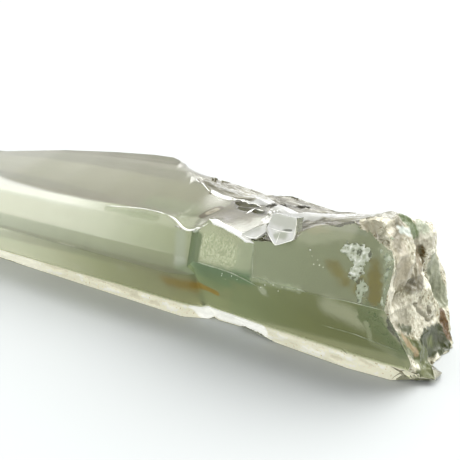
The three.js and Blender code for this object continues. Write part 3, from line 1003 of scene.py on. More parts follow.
END_CRUST = RoughQuartz(
    name="end_crust",
    see_through=0.15,
    roughness=0.24,
    gloss=0.2,
    crest=(236, 233, 214),
    slope=(188, 184, 160),
    pit=(118, 112, 84),
    crest_from=0.6,
    pit_to=0.34,
    fleck=(122, 106, 74),
    fleck_share=0.26,
    fleck_size=0.42,
    fine_share=1.2,
    bump=0.14,
    spots=(
        # Pink-white rays of the streaky corner.
        Spot((-3.6, -2.3, 19.2), (-7.8, -2.2, 20.6), 0.14, 0.16, (226, 220, 206), 0.8, 0.3, 1.2),
        Spot((-3.6, -2.2, 19.3), (-6.0, -1.8, 20.9), 0.12, 0.16, (222, 214, 198), 0.8, 0.3, 1.2),
        Spot((-3.5, -2.1, 19.3), (-4.2, -1.4, 20.9), 0.16, 0.16, (226, 220, 206), 0.8, 0.3, 1.2),
        # The upper left of the crust.
        Spot((-1.8, 0.2, 18.6), (-0.8, 0.6, 14.2), 2.0, 1.2, (170, 162, 140), 0.8, 1.6, 0.9),
        Spot((-5.0, -1.4, 20.9), (-3.2, 0.2, 20.9), 1.3, 0.6, (178, 172, 148), 0.8, 0.8),
        Spot((-3.0, 2.6, 20.4), (-2.0, 0.0, 18.4), 1.3, 0.9, (122, 116, 94), 0.85, 1.6, 1.0),
        Spot((-2.0, 3.4, 18.6), (-1.9, 5.6, 17.8), 0.9, 0.8, (138, 130, 108), 0.7, 1.4, 1.2),
        # Along the upper rim, with a green hollow.
        Spot((-2.3, 2.4, 19.8), (-1.8, 4.8, 18.7), 0.6, 0.4, (180, 188, 178), 0.85, 0.8, 1.2),
        Spot((-3.2, 5.0, 20.4), (-1.9, 7.2, 18.0), 1.0, 0.4, (92, 106, 66), 0.95, 0.8, 1.0),
        Spot((-2.2, 8.8, 18.6), (-1.6, 11.4, 17.0), 1.2, 0.6, (152, 158, 134), 0.9, 0.8),
        # The upper right, and the dark fissure down from it.
        Spot((-1.4, 8.0, 16.6), (-1.3, 11.8, 16.0), 1.2, 0.6, (180, 174, 156), 0.65, 1.8, 1.3),
        Spot((-1.4, 8.3, 15.4), (-0.8, 6.8, 13.0), 0.75, 0.5, (112, 98, 66), 0.85, 1.4, 1.3),
        Spot((-1.5, 8.8, 15.2), (-1.9, 10.6, 12.4), 0.6, 0.4, (92, 72, 34), 0.9, 2.0, 1.4),
        Spot((-1.9, 10.8, 12.2), (-1.2, 13.8, 8.4), 0.42, 0.35, (82, 70, 48), 0.95, 0.9, 1.2),
        Spot((-1.8, 14.4, 12.4), (-0.4, 16.4, 6.0), 1.7, 0.5, (140, 144, 120), 0.85, 1.2, 0.8),
        # Brown and grey in the middle.
        Spot((-0.8, 2.5, 14.2), (-0.5, 6.0, 12.4), 1.5, 1.6, (158, 150, 128), 0.6, 1.8, 0.9),
        Spot((-0.7, 3.0, 12.4), (-0.4, 6.4, 11.4), 1.1, 0.7, (104, 98, 78), 0.85, 1.4, 0.9),
        Spot((-0.3, 1.6, 10.9), (-0.1, 3.2, 10.0), 0.32, 0.3, (104, 94, 62), 0.85, 0.8, 1.2),
        # The paler lower part, with small dark clefts.
        Spot((-0.2, 0.8, 9.2), (0.9, 9.6, 4.6), 2.6, 1.2, (222, 218, 200), 0.34, 2.4, 0.8),
        Spot((0.0, 3.8, 9.4), (0.8, 9.2, 5.2), 0.32, 0.3, (98, 88, 60), 0.9, 1.0, 1.2),
        Spot((0.4, 8.4, 7.2), (0.5, 9.0, 6.4), 0.5, 0.35, (92, 86, 62), 0.9, 0.8, 1.2),
        Spot((0.0, 0.2, 9.0), (0.0, 0.8, 8.9), 0.3, 0.3, (112, 104, 78), 0.85, 0.8, 1.2),
        Spot((0.0, -0.4, 8.0), (0.4, 1.2, 6.9), 0.75, 0.35, (80, 84, 58), 0.95, 0.9, 1.4),
        # The pale left edge.
        Spot((-1.1, -2.9, 14.0), (-0.6, -1.9, 8.8), 1.15, 0.7, (220, 215, 196), 0.75, 1.4, 1.0),
        # The smooth green corner.
        Spot((1.0, 4.4, 3.6), (1.9, 11.8, 1.9), 2.1, 0.5, (46, 52, 2), 1.0, 1.6, 0.8),
        Spot((1.2, 5.6, 3.4), (1.5, 8.2, 2.6), 0.8, 0.9, (90, 98, 34), 0.7, 1.4, 1.2),
        Spot((1.6, 10.4, 2.4), (1.8, 12.0, 1.8), 0.7, 0.8, (40, 42, 4), 0.8, 1.4, 1.2),
        # Dark green under the crust, with an ochre streak.
        Spot((0.6, -2.4, 6.5), (1.4, 1.2, 4.4), 1.4, 0.5, (86, 92, 52), 0.95, 1.2, 0.9),
        Spot((1.4, 1.2, 4.2), (2.0, 3.4, 2.2), 1.4, 0.5, (84, 90, 50), 0.95, 1.2, 0.9),
        Spot((0.3, -1.0, 6.8), (1.6, 1.0, 4.0), 0.5, 0.5, (150, 132, 98), 0.9, 0.9, 1.2),
        Spot((1.0, 14.8, 4.6), (1.8, 14.0, 1.4), 1.0, 0.5, (84, 58, 12), 0.95, 1.2, 1.0),
        # The lip at the foot.
        Spot((1.8, 0.4, 1.6), (4.4, 3.2, 1.0), 1.5, 0.6, (94, 100, 60), 0.9, 1.2, 1.0),
        Spot((-1.0, -1.7, 1.8), (1.2, -1.0, 1.8), 0.6, 0.5, (250, 248, 232), 0.9, 1.4, 1.2),
    ),
)

# The rim's cream is partly bruised quartz and partly painted light: a painted glow for light carried through
# the quartz, fading at the rim's top.
RIM_BRUISE_AND_GLOW = RoughQuartz(
    name="rim_bruise_and_glow",
    see_through=0.1,
    roughness=0.3,
    crest=(234, 233, 218),
    slope=(224, 221, 198),
    pit=(208, 204, 180),
    crest_from=0.58,
    pit_to=0.24,
    fleck=(176, 168, 136),
    fleck_share=0.14,
    fleck_size=0.34,
    glow=0.36,
    upper=((160, 164, 126), 0.78, 1.0),
    spots=(
        # Painted light, brightest by the step and at the far end.
        Spot((-31.8, -0.6, 2.2), (-22.6, -1.0, 1.6), 2.6, 0.4, (255, 255, 248), 1.0, 0.3),
        Spot((-110.0, -1.5, 1.5), (-76.0, -1.5, 1.5), 6.0, 8.0, (246, 244, 226), 0.8, 0.5),
    ),
)

# White of bruised edges and grains, with a faint painted glow; on the edge lines it stands partly for painted
# highlights.
BRUISE_AND_GLOW = RoughQuartz(
    name="bruised_edge_and_glow",
    see_through=0.1,
    roughness=0.3,
    crest=(255, 255, 250),
    slope=(255, 255, 248),
    pit=(228, 228, 212),
    fleck_size=0.6,
    glow=0.08,
)

HEALED = RoughQuartz(
    name="healed_edge",
    see_through=0.35,
    roughness=0.2,
    crest=(224, 229, 208),
    slope=(192, 201, 174),
    pit=(152, 164, 130),
    fleck_size=0.6,
)

VEIL = RoughQuartz(
    name="healed_veil",
    see_through=0.15,
    roughness=0.25,
    crest=(240, 242, 232),
    slope=(202, 207, 188),
    pit=(166, 173, 147),
    crest_from=0.6,
    pit_to=0.42,
    fleck_size=0.4,
    fine_share=0.9,
)


@dataclass(frozen=True)
class Chlorite:
    """Fine chlorite caught in the quartz: dull green grains."""

    pale: Shade = (112, 134, 96)
    dark: Shade = (50, 68, 40)
    tints_per_mm: float = 1.6
    grains_per_mm: float = 9.0
    grain_depth: float = 0.05
    grain_strength: float = 0.4

    def make(self) -> bpy.types.Material:
        """Builds the material."""
        recipe = Recipe("chlorite")
        wiring = recipe.wiring
        place_mm = wiring.millimetres()
        grain = wiring.noise(place_mm, self.grains_per_mm, detail=3.0)
        tint = wiring.noise(place_mm, self.tints_per_mm, detail=3.0)
        tint = wiring.mix(tint, paint(self.dark), paint(self.pale))
        recipe.set({"Base Color": tint, "Roughness": wiring.step(grain, -0.6, 1.2)})
        recipe.set({"Normal": wiring.bump(grain, self.grain_strength, self.grain_depth)})
        return recipe.material


# ---------------------------------------------------------------------------------------------- pieces


class Front(Enum):
    """The two flat faces at the front of the stout part: a point, and the way out from it."""

    UPPER = ((0.0, -5.0, 11.5), (0.0, -0.943, 0.332))
    LOWER = ((0.0, -5.0, 11.5), (0.0, -0.929, -0.370))

    def proud(self, places: np.ndarray) -> np.ndarray:
        """How far places stand out from the face; below zero they are inside the quartz."""
        foot, outward = (np.array(value) for value in self.value)
        return (places - foot) @ outward


class Face(Enum):
    """Which finish a triangle of the crystal takes."""

    GROWN = 0
    BROKEN = 1
    CRUST = 2
    RIM = 3
    FLAKE = 4


@dataclass(frozen=True)
class Groove:
    """An open crack in the surface from one point to another, widest in its middle.

    Args:
        start: one end of the crack.
        end: its other end.
        width: half its width in the middle.
        depth: how deep it goes.
    """

    start: Triple
    end: Triple
    width: float
    depth: float

    def cut(self, places: np.ndarray) -> np.ndarray:
        """How deep it goes at each place, below zero."""
        start = np.array(self.start)
        along = np.array(self.end) - start
        share = np.clip((places - start) @ along / (along @ along), 0.0, 1.0)
        away = np.linalg.norm(places - start - share[:, None] * along, axis=1)
        width = self.width * np.sqrt(1.0 - (1.9 * share - 0.95) ** 2)
        return -self.depth * smooth(0.0, 1.0, 1.0 - away / width)


@dataclass
class Crystal:
    """The whole crystal: one closed skin over the prism, its point, its broken top and its crusted end."""

    # How long edges may be, by surface.
    grown_edge: float = 1.1
    broken_edge: float = 0.34
    crust_edge: float = 0.27
    rim_edge: float = 0.42

    # What counts as broken surface, and how much is softened.
    facet_limit: float = 2.1
    weld: float = 1e-6
    flat_turn: float = 0.05
    sharp_angle: float = 24.0
    soft_turn: float = 9.0
    soft_rounds: int = 60
    top_rounds: int = 14
    last_rounds: int = 2

    # The bruised rim along the foot: its height at a few places.
    rim_x: tuple[float, ...] = (-34.0, -32.2, -31.0, -22.0, -15.0, -6.0)
    rim_tops: tuple[float, ...] = (2.7, 2.9, 3.2, 3.2, 3.0, 2.7)
    rim_far_end: float = -110.0
    rim_lean: float = 0.35
    rim_back: float = 0.3

    # Where the broken end and the broken top start.
    end_start: float = -3.4
    end_grown_to: float = 4.0
    break_corner: tuple[float, float] = (-36.5, 6.5)
    break_slope: float = 0.85
    break_start: float = -42.6

    # The knob at the far end of the break.
    knob_from: float = -48.5
    knob_behind: float = 9.0
    knob_above: float = 17.5

    # The smooth shelf in front of the break.
    shelf_x: tuple[float, ...] = (-36.9, -35.2, -34.4, -31.6, -27.6, -25.5)
    shelf_y: tuple[float, ...] = (7.7, 7.0, 7.9, 8.8, 7.8, 7.2)
    shelf_end: float = -21.6
    shelf_slope: float = 0.28
    shelf_foot: float = -3.4
    shelf_low: float = 15.2
    shelf_margin: float = 1.4

    # The flakes on the front edge of the break.
    flake_from: float = -25.0
    flake_to: float = -12.0
    flake_foot: float = 15.5
    flake_proud: float = 0.1

    # The step between the slim and the stout part.
    step_from: float = -37.0
    step_to: float = -28.0
    step_high: float = 12.5
    step_soft: tuple[float, float] = (2.6, 8.5)
    step_foot: float = 2.0
    step_foot_x: tuple[float, ...] = (-36.0, -34.0, -27.0, -24.0)

    # The streaky crust over the top corner, in X and Z.
    fan_start: tuple[float, float] = (-7.0, 20.8)
    fan_slope: float = 2.0
    fan_foot: float = 18.4
    fan_tip: tuple[float, float] = (-3.6, 19.3)
    fan_deep: float = 0.6
    fan_wander: float = 0.5

    # The smooth corner of the broken end, in Y and Z.
    glassy_middle: tuple[float, float] = (7.9, 2.9)
    glassy_half: float = 3.2
    glassy_reach: float = 2.6
    quiet: float = 0.2

    # The ripples of the broken top: their spacing and their height.
    sway_size: Triple = (6.0, 6.0, 9.0)
    sway: float = 0.9
    fold_size: Triple = (11.0, 2.4, 6.0)
    fold_height: float = 0.36
    ripple_size: Triple = (9.0, 1.5, 4.0)
    ripple_height: float = 0.5

    # The relief of the broken end and of the rim.
    lump_size: float = 4.2
    lump_height: float = 0.4
    bend_size: float = 3.0
    bend: float = 0.9
    ledge_size: float = 3.0
    ledge_height: float = 0.6
    wrinkle_size: Triple = (1.2, 1.2, 2.0)
    wrinkle_height: float = 0.18
    pit_size: float = 1.7
    pit_depth: float = 0.35
    grain_size: float = 0.6
    grain_height: float = 0.07
    ray_size: Triple = (0.25, 6.0, 6.0)
    ray_height: float = 0.6
    dent_size: Triple = (2.2, 1.0, 0.9)
    dent_height: float = 0.16

    # The open cracks.
    groove_edge: float = 0.3
    groove_deep: float = 0.05
    grooves: tuple[Groove, ...] = (
        Groove((-25.3, 8.0, 18.1), (-21.6, 14.2, 17.2), 0.85, 1.1),
        Groove((-31.4, 7.6, 17.8), (-27.0, 7.3, 17.9), 0.95, 0.85),
        Groove((-30.1, 6.1, 17.8), (-26.7, 5.3, 17.7), 0.75, 0.65),
        Groove((-27.2, 5.7, 17.7), (-24.7, 5.0, 17.7), 0.85, 0.75),
        Groove((-1.4, 8.4, 16.0), (-1.8, 11.0, 11.8), 0.8, 1.0),
        Groove((-1.9, 10.6, 12.4), (-0.9, 14.6, 7.2), 0.6, 0.9),
        Groove((0.0, 3.6, 9.6), (0.9, 9.4, 5.0), 0.5, 0.7),
        Groove((0.2, 8.2, 7.6), (0.6, 9.2, 6.2), 0.6, 0.6),
        Groove((-0.6, 2.4, 13.0), (-0.2, 4.8, 11.6), 0.8, 0.5),
    )

    def read_solid(self) -> Skin:
        """Takes the shape of the solid, merged into one skin."""
        work = bmesh.new()
        work.from_mesh(frame["nodes"]["crystal"].data)
        bmesh.ops.remove_doubles(work, verts=work.verts, dist=self.weld)
        flat = math.radians(self.flat_turn)
        bmesh.ops.dissolve_limit(work, angle_limit=flat, verts=work.verts, edges=work.edges)
        bmesh.ops.triangulate(work, faces=work.faces, quad_method="BEAUTY", ngon_method="BEAUTY")
        points = np.array([(v.co - DATUM) / MM for v in work.verts])
        faces = np.array([[v.index for v in f.verts] for f in work.faces])
        work.free()
        corners = points[faces]
        longest = np.linalg.norm(corners - np.roll(corners, 1, axis=1), axis=2).max(axis=1)
        middles = corners.mean(axis=1)
        x, y, z = middles.T
        behind_break = y > self.break_corner[1] + self.break_slope * (self.break_corner[0] - x)
        broken = (longest < self.facet_limit) & ((x > self.break_corner[0]) | behind_break)
        low_front = (x < self.end_start) & (z < self.step_high) & (y < self.end_grown_to)
        return Skin(points, faces, broken & (x > self.break_start) & ~self.on_shelf(middles) & ~low_front)

    def on_shelf(self, places: np.ndarray) -> np.ndarray:
        """Marks places on the smooth shelf in front of the broken top."""
        x, y, z = places.T
        in_front = y < np.interp(x, self.shelf_x, self.shelf_y)
        before_flakes = x < self.shelf_end - self.shelf_slope * (y - self.shelf_foot)
        return in_front & before_flakes & (x > self.shelf_x[0]) & (z > self.shelf_low)

    def on_fan(self, places: np.ndarray) -> np.ndarray:
        """Marks places on the streaky crust that reaches over the top corner of the front face."""
        x, y, z = places.T
        wander = self.fan_wander * Noise(41).layered(places / 1.2, 3)
        past = x + wander > self.fan_start[0] + self.fan_slope * (self.fan_start[1] - z)
        return past & (z > self.fan_foot) & (y < self.fan_deep)

    def on_rim(self, places: np.ndarray) -> np.ndarray:
        """Marks places on the narrow bruised face along the foot of the front."""
        x, y, z = places.T
        start, full, full_to, stop = self.step_foot_x
        at_step = smooth(start, full, x) * smooth(stop, full_to, x)
        front = y < self.rim_lean * z - self.rim_back + self.step_foot * at_step
        return front & (self.rise(places) < 1.0) & (z > 0.02) & (x > self.rim_far_end)

    def rise(self, places: np.ndarray) -> np.ndarray:
        """How far up the rim places are, from 0 at the table to 1 at its top."""
        return places[:, 2] / np.interp(places[:, 0], self.rim_x, self.rim_tops)

    def on_flake(self, places: np.ndarray) -> np.ndarray:
        """Marks places on the flakes that stand proud of the upper front face."""
        proud = Front.UPPER.proud(places) > self.flake_proud
        x, _, z = places.T
        return proud & (x > self.flake_from) & (x < self.flake_to) & (z > self.flake_foot)

    def longest_edge(self, middles: np.ndarray, broken: np.ndarray) -> np.ndarray:
        """How long an edge may be: short where the surface is rough, longer on the grown faces."""
        limit = np.where(broken, self.broken_edge, self.grown_edge)
        limit = np.where(broken & (middles[:, 0] > self.end_start - 2.0), self.crust_edge, limit)
        limit = np.where(self.on_rim(middles) | self.on_fan(middles), self.rim_edge, limit)
        return np.where(self.cracks(middles) < -self.groove_deep, self.groove_edge, limit)

    def cracks(self, places: np.ndarray) -> np.ndarray:
        """Depth of the open cracks, below zero."""
        return sum(groove.cut(places) for groove in self.grooves)

    def soften(self, skin: Skin) -> None:
        """Evens out the shallow turns that growth rounds off, the low part of the step and the broken top."""
        grown = (skin.share_broken() == 0.0) & ~skin.at_sharp_edge(self.soft_turn)
        skin.relax(grown, self.soft_rounds)
        x, y, z = skin.points.T
        low, high = self.step_soft
        on_step = (x > self.step_from) & (x < self.step_to) & (z > low) & (z < high) & (y < 0.0)
        on_knob = (x > self.knob_from) & (x < self.break_start + 0.8)
        on_knob &= (y > self.knob_behind) & (z > self.knob_above)
        skin.relax(on_step, self.soft_rounds)
        skin.relax(self.on_shelf(skin.points) & (y > self.shelf_foot + self.shelf_margin), self.soft_rounds)
        skin.relax(on_knob, self.top_rounds)
        inner = skin.share_broken() > 0.99
        skin.relax(inner & (x < self.end_start - 1.5), self.top_rounds)
        skin.relax(inner, self.last_rounds)

    def ripple_top(self, skin: Skin) -> np.ndarray:
        """Heights of the long glassy ripples on the broken top."""
        x, y, z = skin.points.T
        share = smooth(0.5, 1.0, skin.share_broken()) * smooth(11.0, 13.0, z) * smooth(-4.0, -6.5, x)
        noise = Noise(11)
        across = y + 0.35 * x + self.sway * noise.plain(skin.points / self.sway_size)
        along_top = np.stack([x, across, z], axis=1)
        folds = noise.plain(along_top / self.fold_size)
        ripples = noise.ridged(along_top / self.ripple_size + 20.0, 2)
        return share * (self.fold_height * folds + self.ripple_height * (ripples - 0.5))

    def crumble_end(self, skin: Skin) -> np.ndarray:
        """Heights of the ledges, wrinkles and pits on the crusted end, quieter on the glassy corner."""
        points = skin.points
        x, _, z = points.T
        share = smooth(0.5, 1.0, skin.share_broken()) * smooth(-7.0, -3.5, x)
        depth = np.minimum(*(-front.proud(points) for front in Front))
        share = share * smooth_from(self.quiet, 0.1, 1.0, depth)
        share = share * smooth_from(self.quiet, 0.8, 1.2, self.off_glassy(points) / self.glassy_reach)
        noise = Noise(23)
        lumps = noise.plain(points / self.lump_size)
        bent = points + self.bend * noise.plain(points / self.bend_size + 70.0)[:, None]
        ledges = noise.ridged(bent / self.ledge_size + 9.0, 2) - RIDGE_MEAN
        wrinkles = noise.ridged(bent / self.wrinkle_size + 30.0, 2) - RIDGE_MEAN
        pits = smooth(0.45, 0.8, noise.plain(points / self.pit_size + 40.0))
        grains = noise.layered(points / self.grain_size + 50.0, 2)
        rough = self.lump_height * lumps + self.ledge_height * ledges + self.wrinkle_height * wrinkles
        rough = rough - self.pit_depth * pits + self.grain_height * grains
        turn = np.arctan2(z - self.fan_tip[1], x - self.fan_tip[0])
        rays = noise.ridged(np.stack([turn, x, z], axis=1) / self.ray_size, 2) - RIDGE_MEAN
        fan = self.on_fan(points).astype(float) * skin.share_broken()
        return np.where(fan > 0.0, self.ray_height * fan * rays, share * rough)

    def off_glassy(self, places: np.ndarray) -> np.ndarray:
        """How far places are from the middle of the smooth glassy corner, its height counted more."""
        _, y, z = places.T
        sideways = np.maximum(np.abs(y - self.glassy_middle[0]) - self.glassy_half, 0.0)
        return np.hypot(sideways, 1.4 * (z - self.glassy_middle[1]))

    def bruise_rim(self, skin: Skin) -> np.ndarray:
        """Heights of the dents along the rim."""
        share = self.on_rim(skin.points).astype(float) * smooth(0.15, 0.5, skin.points[:, 2])
        share *= smooth(1.0, 0.75, self.rise(skin.points))
        return share * (self.dent_height * Noise(37).layered(skin.points / self.dent_size, 3) - 0.05)

    def finish_of(self, skin: Skin) -> np.ndarray:
        """Chooses the finish of every triangle."""
        middles = skin.middles()
        x, _, z = middles.T
        wander = Noise(5).layered(middles / 1.5, 2) * 0.8
        finish = np.full(len(skin.faces), Face.GROWN.value)
        finish[self.on_rim(middles)] = Face.RIM.value
        finish[skin.broken] = Face.BROKEN.value
        finish[self.on_flake(middles)] = Face.FLAKE.value
        finish[skin.broken & (z < self.rim_tops[0] + 1.0) & (x < self.end_start)] = Face.RIM.value
        finish[skin.broken & (x + wander > self.end_start)] = Face.CRUST.value
        finish[skin.broken & self.on_fan(middles)] = Face.CRUST.value
        return finish

    @staticmethod
    def blunt(mesh: bpy.types.Mesh, skin: Skin, crusted: np.ndarray) -> None:
        """Takes the sharp mark off the edges within the crust, where everything is rounded."""
        inner = skin.gather(crusted.astype(float)) == skin.gather(np.ones(len(skin.faces)))
        ends = np.zeros(len(mesh.edges) * 2, dtype=np.int32)
        mesh.edges.foreach_get("vertices", ends)
        sharp = np.zeros(len(mesh.edges), dtype=bool)
        marks = mesh.attributes["sharp_edge"].data
        marks.foreach_get("value", sharp)
        marks.foreach_set("value", sharp & ~inner[ends.reshape(-1, 2)].all(axis=1))

    def build(self, finishes: dict[Face, bpy.types.Material]) -> bpy.types.Object:
        """Makes the crystal's mesh object.

        Args:
            finishes: the material of each kind of face.

        Returns:
            The finished piece.
        """
        skin = self.read_solid()
        skin.refine(self.longest_edge)
        skin.broken |= self.on_fan(skin.middles())
        self.soften(skin)
        top, end, rim = self.ripple_top(skin), self.crumble_end(skin), self.bruise_rim(skin)
        cracks = self.cracks(skin.points)
        skin.push(top + end + rim + cracks)
        skin.points[:, 2] = np.maximum(skin.points[:, 2], 0.0)
        mesh = bpy.data.meshes.new("quartz_crystal")
        mesh.from_pydata((skin.points * MM + np.array(DATUM)).tolist(), [], skin.faces.tolist())
        record(mesh, RELIEF, np.clip(0.5 + top / 0.8 + (end + cracks) / 1.4 + rim / 0.4, 0.0, 1.0))
        record(mesh, RISE, self.rise(skin.points))
        finish = self.finish_of(skin)
        mesh.shade_smooth()
        mesh.set_sharp_from_angle(angle=math.radians(self.sharp_angle))
        self.blunt(mesh, skin, finish == Face.CRUST.value)
        for face in Face:
            mesh.materials.append(finishes[face])
        mesh.polygons.foreach_set("material_index", finish.astype(np.int32))
        piece = bpy.data.objects.new("quartz_crystal", mesh)
        bpy.context.scene.collection.objects.link(piece)
        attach(piece, "root")
        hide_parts("crystal")
        LOG.info("quartz_crystal: %d faces, %d of them broken surface", len(skin.faces), skin.broken.sum())
        return piece


class Surface:
    """The crystal's surface, to lay things on.

    Args:
        piece: the finished crystal.
    """

    def __init__(self, piece: bpy.types.Object) -> None:
        """Sorts the faces for finding the nearest."""
        corners = [vertex.co for vertex in piece.data.vertices]
        faces = [tuple(face.vertices) for face in piece.data.polygons]
        self.tree = BVHTree.FromPolygons(corners, faces)

    def snap(self, points: np.ndarray) -> np.ndarray:
        """Moves points in millimetres onto the nearest place of the surface."""
        found = [self.tree.find_nearest(place(*point))[0] for point in points]
        return np.array([(hit - DATUM) / MM for hit in found])


def finish_piece(
    name: str,
    points_mm: np.ndarray,
    faces: list[tuple[int, ...]],
    heights: np.ndarray,
    finish: bpy.types.Material,
) -> bpy.types.Object:
    """Makes a closed piece that rides with the crystal.

    Args:
        name: the piece's name.
        points_mm: its corners, in millimetres from the datum.
        faces: its faces, as corner numbers.
        heights: how high each corner stands within its roughness, from 0 to 1.
        finish: its material.

    Returns:
        The finished piece.
    """
    mesh = bpy.data.meshes.new(name)
    mesh.from_pydata((points_mm * MM + np.array(DATUM)).tolist(), [], faces)
    work = bmesh.new()
    work.from_mesh(mesh)
    bmesh.ops.recalc_face_normals(work, faces=work.faces)
    work.to_mesh(mesh)
    work.free()
    record(mesh, RELIEF, heights)
    mesh.shade_smooth()
    mesh.materials.append(finish)
    piece = bpy.data.objects.new(name, mesh)
    bpy.context.scene.collection.objects.link(piece)
    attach(piece, "root")
    LOG.info("%s: %d faces", name, len(mesh.polygons))
    return piece


@dataclass(frozen=True)
class Line:
    """A line along an edge, through a few points, thickest in its middle."""

    points: tuple[Triple, ...]
    radius: float


@dataclass(frozen=True)
class EdgeLines:
    """Lines that lie on the crystal's edges: crushed quartz or healed cracks.

    Args:
        name: the piece's name.
        lines: where they run.
        slot: the name of a material slot; it is not used.
        sides: how many sides each line has.
        spacing: how far its rings stand apart.
        flatness: its height against its width.
        taper: how far from its ends it starts to thin.
        thinnest: what is left of its radius at the ends.
        uneven: how much its radius varies on the way.
    """

    name: str
    lines: tuple[Line, ...]
    slot: str = "quartz_crust"
    sides: int = 6
    spacing: float = 0.3
    flatness: float = 0.6
    taper: float = 1.2
    thinnest: float = 0.15
    uneven: float = 0.35

    def tube(self, line: Line, surface: Surface) -> tuple[np.ndarray, list[tuple[int, ...]]]:
        """Sweeps one line over the crystal's surface.

        Args:
            line: the line to sweep.
            surface: the crystal to lie on.

        Returns:
            The tube's points in millimetres and its faces.
        """
        knots = np.array(line.points)
        gaps = np.linalg.norm(np.diff(knots, axis=0), axis=1)
        reach = np.concatenate([[0.0], np.cumsum(gaps)])
        count = max(4, int(reach[-1] / self.spacing))
        along = np.linspace(0.0, reach[-1], count)
        path = np.stack([np.interp(along, reach, knots[:, n]) for n in range(3)], axis=1)
        for _ in range(2):
            path[1:-1] = (path[:-2] + 2.0 * path[1:-1] + path[2:]) / 4.0
        path = surface.snap(path)
        taper = np.clip(np.minimum(along, reach[-1] - along) / self.taper, self.thinnest, 1.0)
        radii = line.radius * taper * (1.0 + self.uneven * Noise(3).layered(path / 1.1, 2))
        direction = unit(np.gradient(path, axis=0))
        side = unit(np.cross(direction, np.array([0.0, -0.6, 0.8])))
        up = np.cross(side, direction)
        rings = []
        for turn in np.linspace(0.0, 2.0 * math.pi, self.sides, endpoint=False):
            way = math.cos(turn) * side + self.flatness * math.sin(turn) * up
            rings.append(path + radii[:, None] * way)
        points = np.stack(rings, axis=1).reshape(-1, 3)
        faces = [tuple(reversed(range(self.sides)))]
        for start in range(0, (count - 1) * self.sides, self.sides):
            for k in range(self.sides):
                after = (k + 1) % self.sides
                faces.append((start + k, start + after, start + self.sides + after, start + self.sides + k))
        faces.append(tuple((count - 1) * self.sides + k for k in range(self.sides)))
        return points, faces

    def build(self, surface: Surface, finish: bpy.types.Material) -> bpy.types.Object:
        """Makes all the lines as one piece.

        Args:
            surface: the crystal they lie on.
            finish: the material of the lines.

        Returns:
            The finished piece.
        """
        points, faces = [], []
        for line in self.lines:
            more, rings = self.tube(line, surface)
            faces += [tuple(index + len(points) for index in face) for face in rings]
            points += more.tolist()
        points = np.array(points)
        heights = np.clip(0.55 + 0.4 * Noise(9).layered(points / 0.9, 2), 0.0, 1.0)
        return finish_piece(self.name, points, faces, heights, finish)


# White lines along the edges: partly bruised quartz, partly painted highlights where the edges catch the
# light.
EDGE_BRUISES_AND_GLINTS = EdgeLines("white_edges", (
    Line(((-52.0, -0.9, 16.0), (-47.2, -0.2, 16.3), (-44.1, 0.0, 16.5), (-40.9, 0.0, 16.4),
          (-39.1, -0.2, 16.3)), 0.06),
    Line(((-39.1, -0.2, 16.3), (-37.4, -0.5, 16.0), (-35.3, -1.3, 15.2), (-34.3, -1.4, 14.9),
          (-33.5, -1.2, 15.1), (-31.2, -2.2, 15.9), (-29.8, -3.1, 16.7), (-29.1, -3.0, 17.3)), 0.17),
    Line(((-29.0, -2.8, 17.9), (-25.2, -3.0, 17.1), (-22.3, -3.3, 16.3), (-20.9, -3.4, 15.9)), 0.46),
    Line(((-42.8, 12.4, 19.7), (-39.3, 9.3, 19.5), (-36.9, 7.7, 18.9),
          (-34.8, 7.4, 18.4), (-31.6, 8.8, 18.0), (-27.6, 7.8, 18.1), (-25.5, 7.2, 18.0)), 0.07),
    Line(((-27.0, 3.8, 17.6), (-27.0, 6.4, 17.8)), 0.17),
    Line(((-26.9, 6.2, 17.8), (-25.2, 5.9, 17.8)), 0.17),
    Line(((-22.9, -3.5, 17.0), (-22.1, -3.8, 16.8), (-20.4, -3.8, 16.8), (-19.2, -3.5, 17.8)), 0.06),
    Line(((-19.2, -3.1, 18.0), (-17.2, -3.95, 16.4), (-14.7, -3.45, 17.5), (-14.8, -2.6, 19.2)), 0.05),
    Line(((-18.8, -3.1, 18.5), (-17.0, -3.2, 18.3), (-14.8, -3.1, 18.4)), 0.05),
    Line(((-17.2, -3.9, 16.5), (-16.9, -3.4, 18.2)), 0.05),
))

HEALED_EDGES = EdgeLines("healed_edges", (
    Line(((-29.4, -5.0, 11.8), (-27.9, -5.0, 11.7), (-25.5, -5.0, 11.6), (-23.3, -4.95, 11.4),
          (-21.2, -4.7, 10.8), (-19.2, -4.5, 10.1)), 0.10),
    Line(((-20.2, -5.0, 11.6), (-18.0, -4.9, 11.4), (-15.9, -5.0, 11.4)), 0.07),
    Line(((-15.2, -4.8, 11.2), (-13.0, -5.0, 11.5), (-10.7, -4.95, 11.2)), 0.08),
    Line(((-10.7, -4.95, 11.2), (-6.2, -5.0, 11.5), (-0.9, -5.0, 11.5)), 0.035),
    Line(((-10.5, -3.0, 6.3), (-8.1, -3.0, 6.3), (-5.4, -3.0, 6.3), (-2.8, -2.8, 5.9),
          (0.2, -2.5, 5.5)), 0.05),
    Line(((-20.9, -3.4, 15.9), (-20.6, -4.2, 13.8), (-20.1, -4.95, 11.7)), 0.035),
))


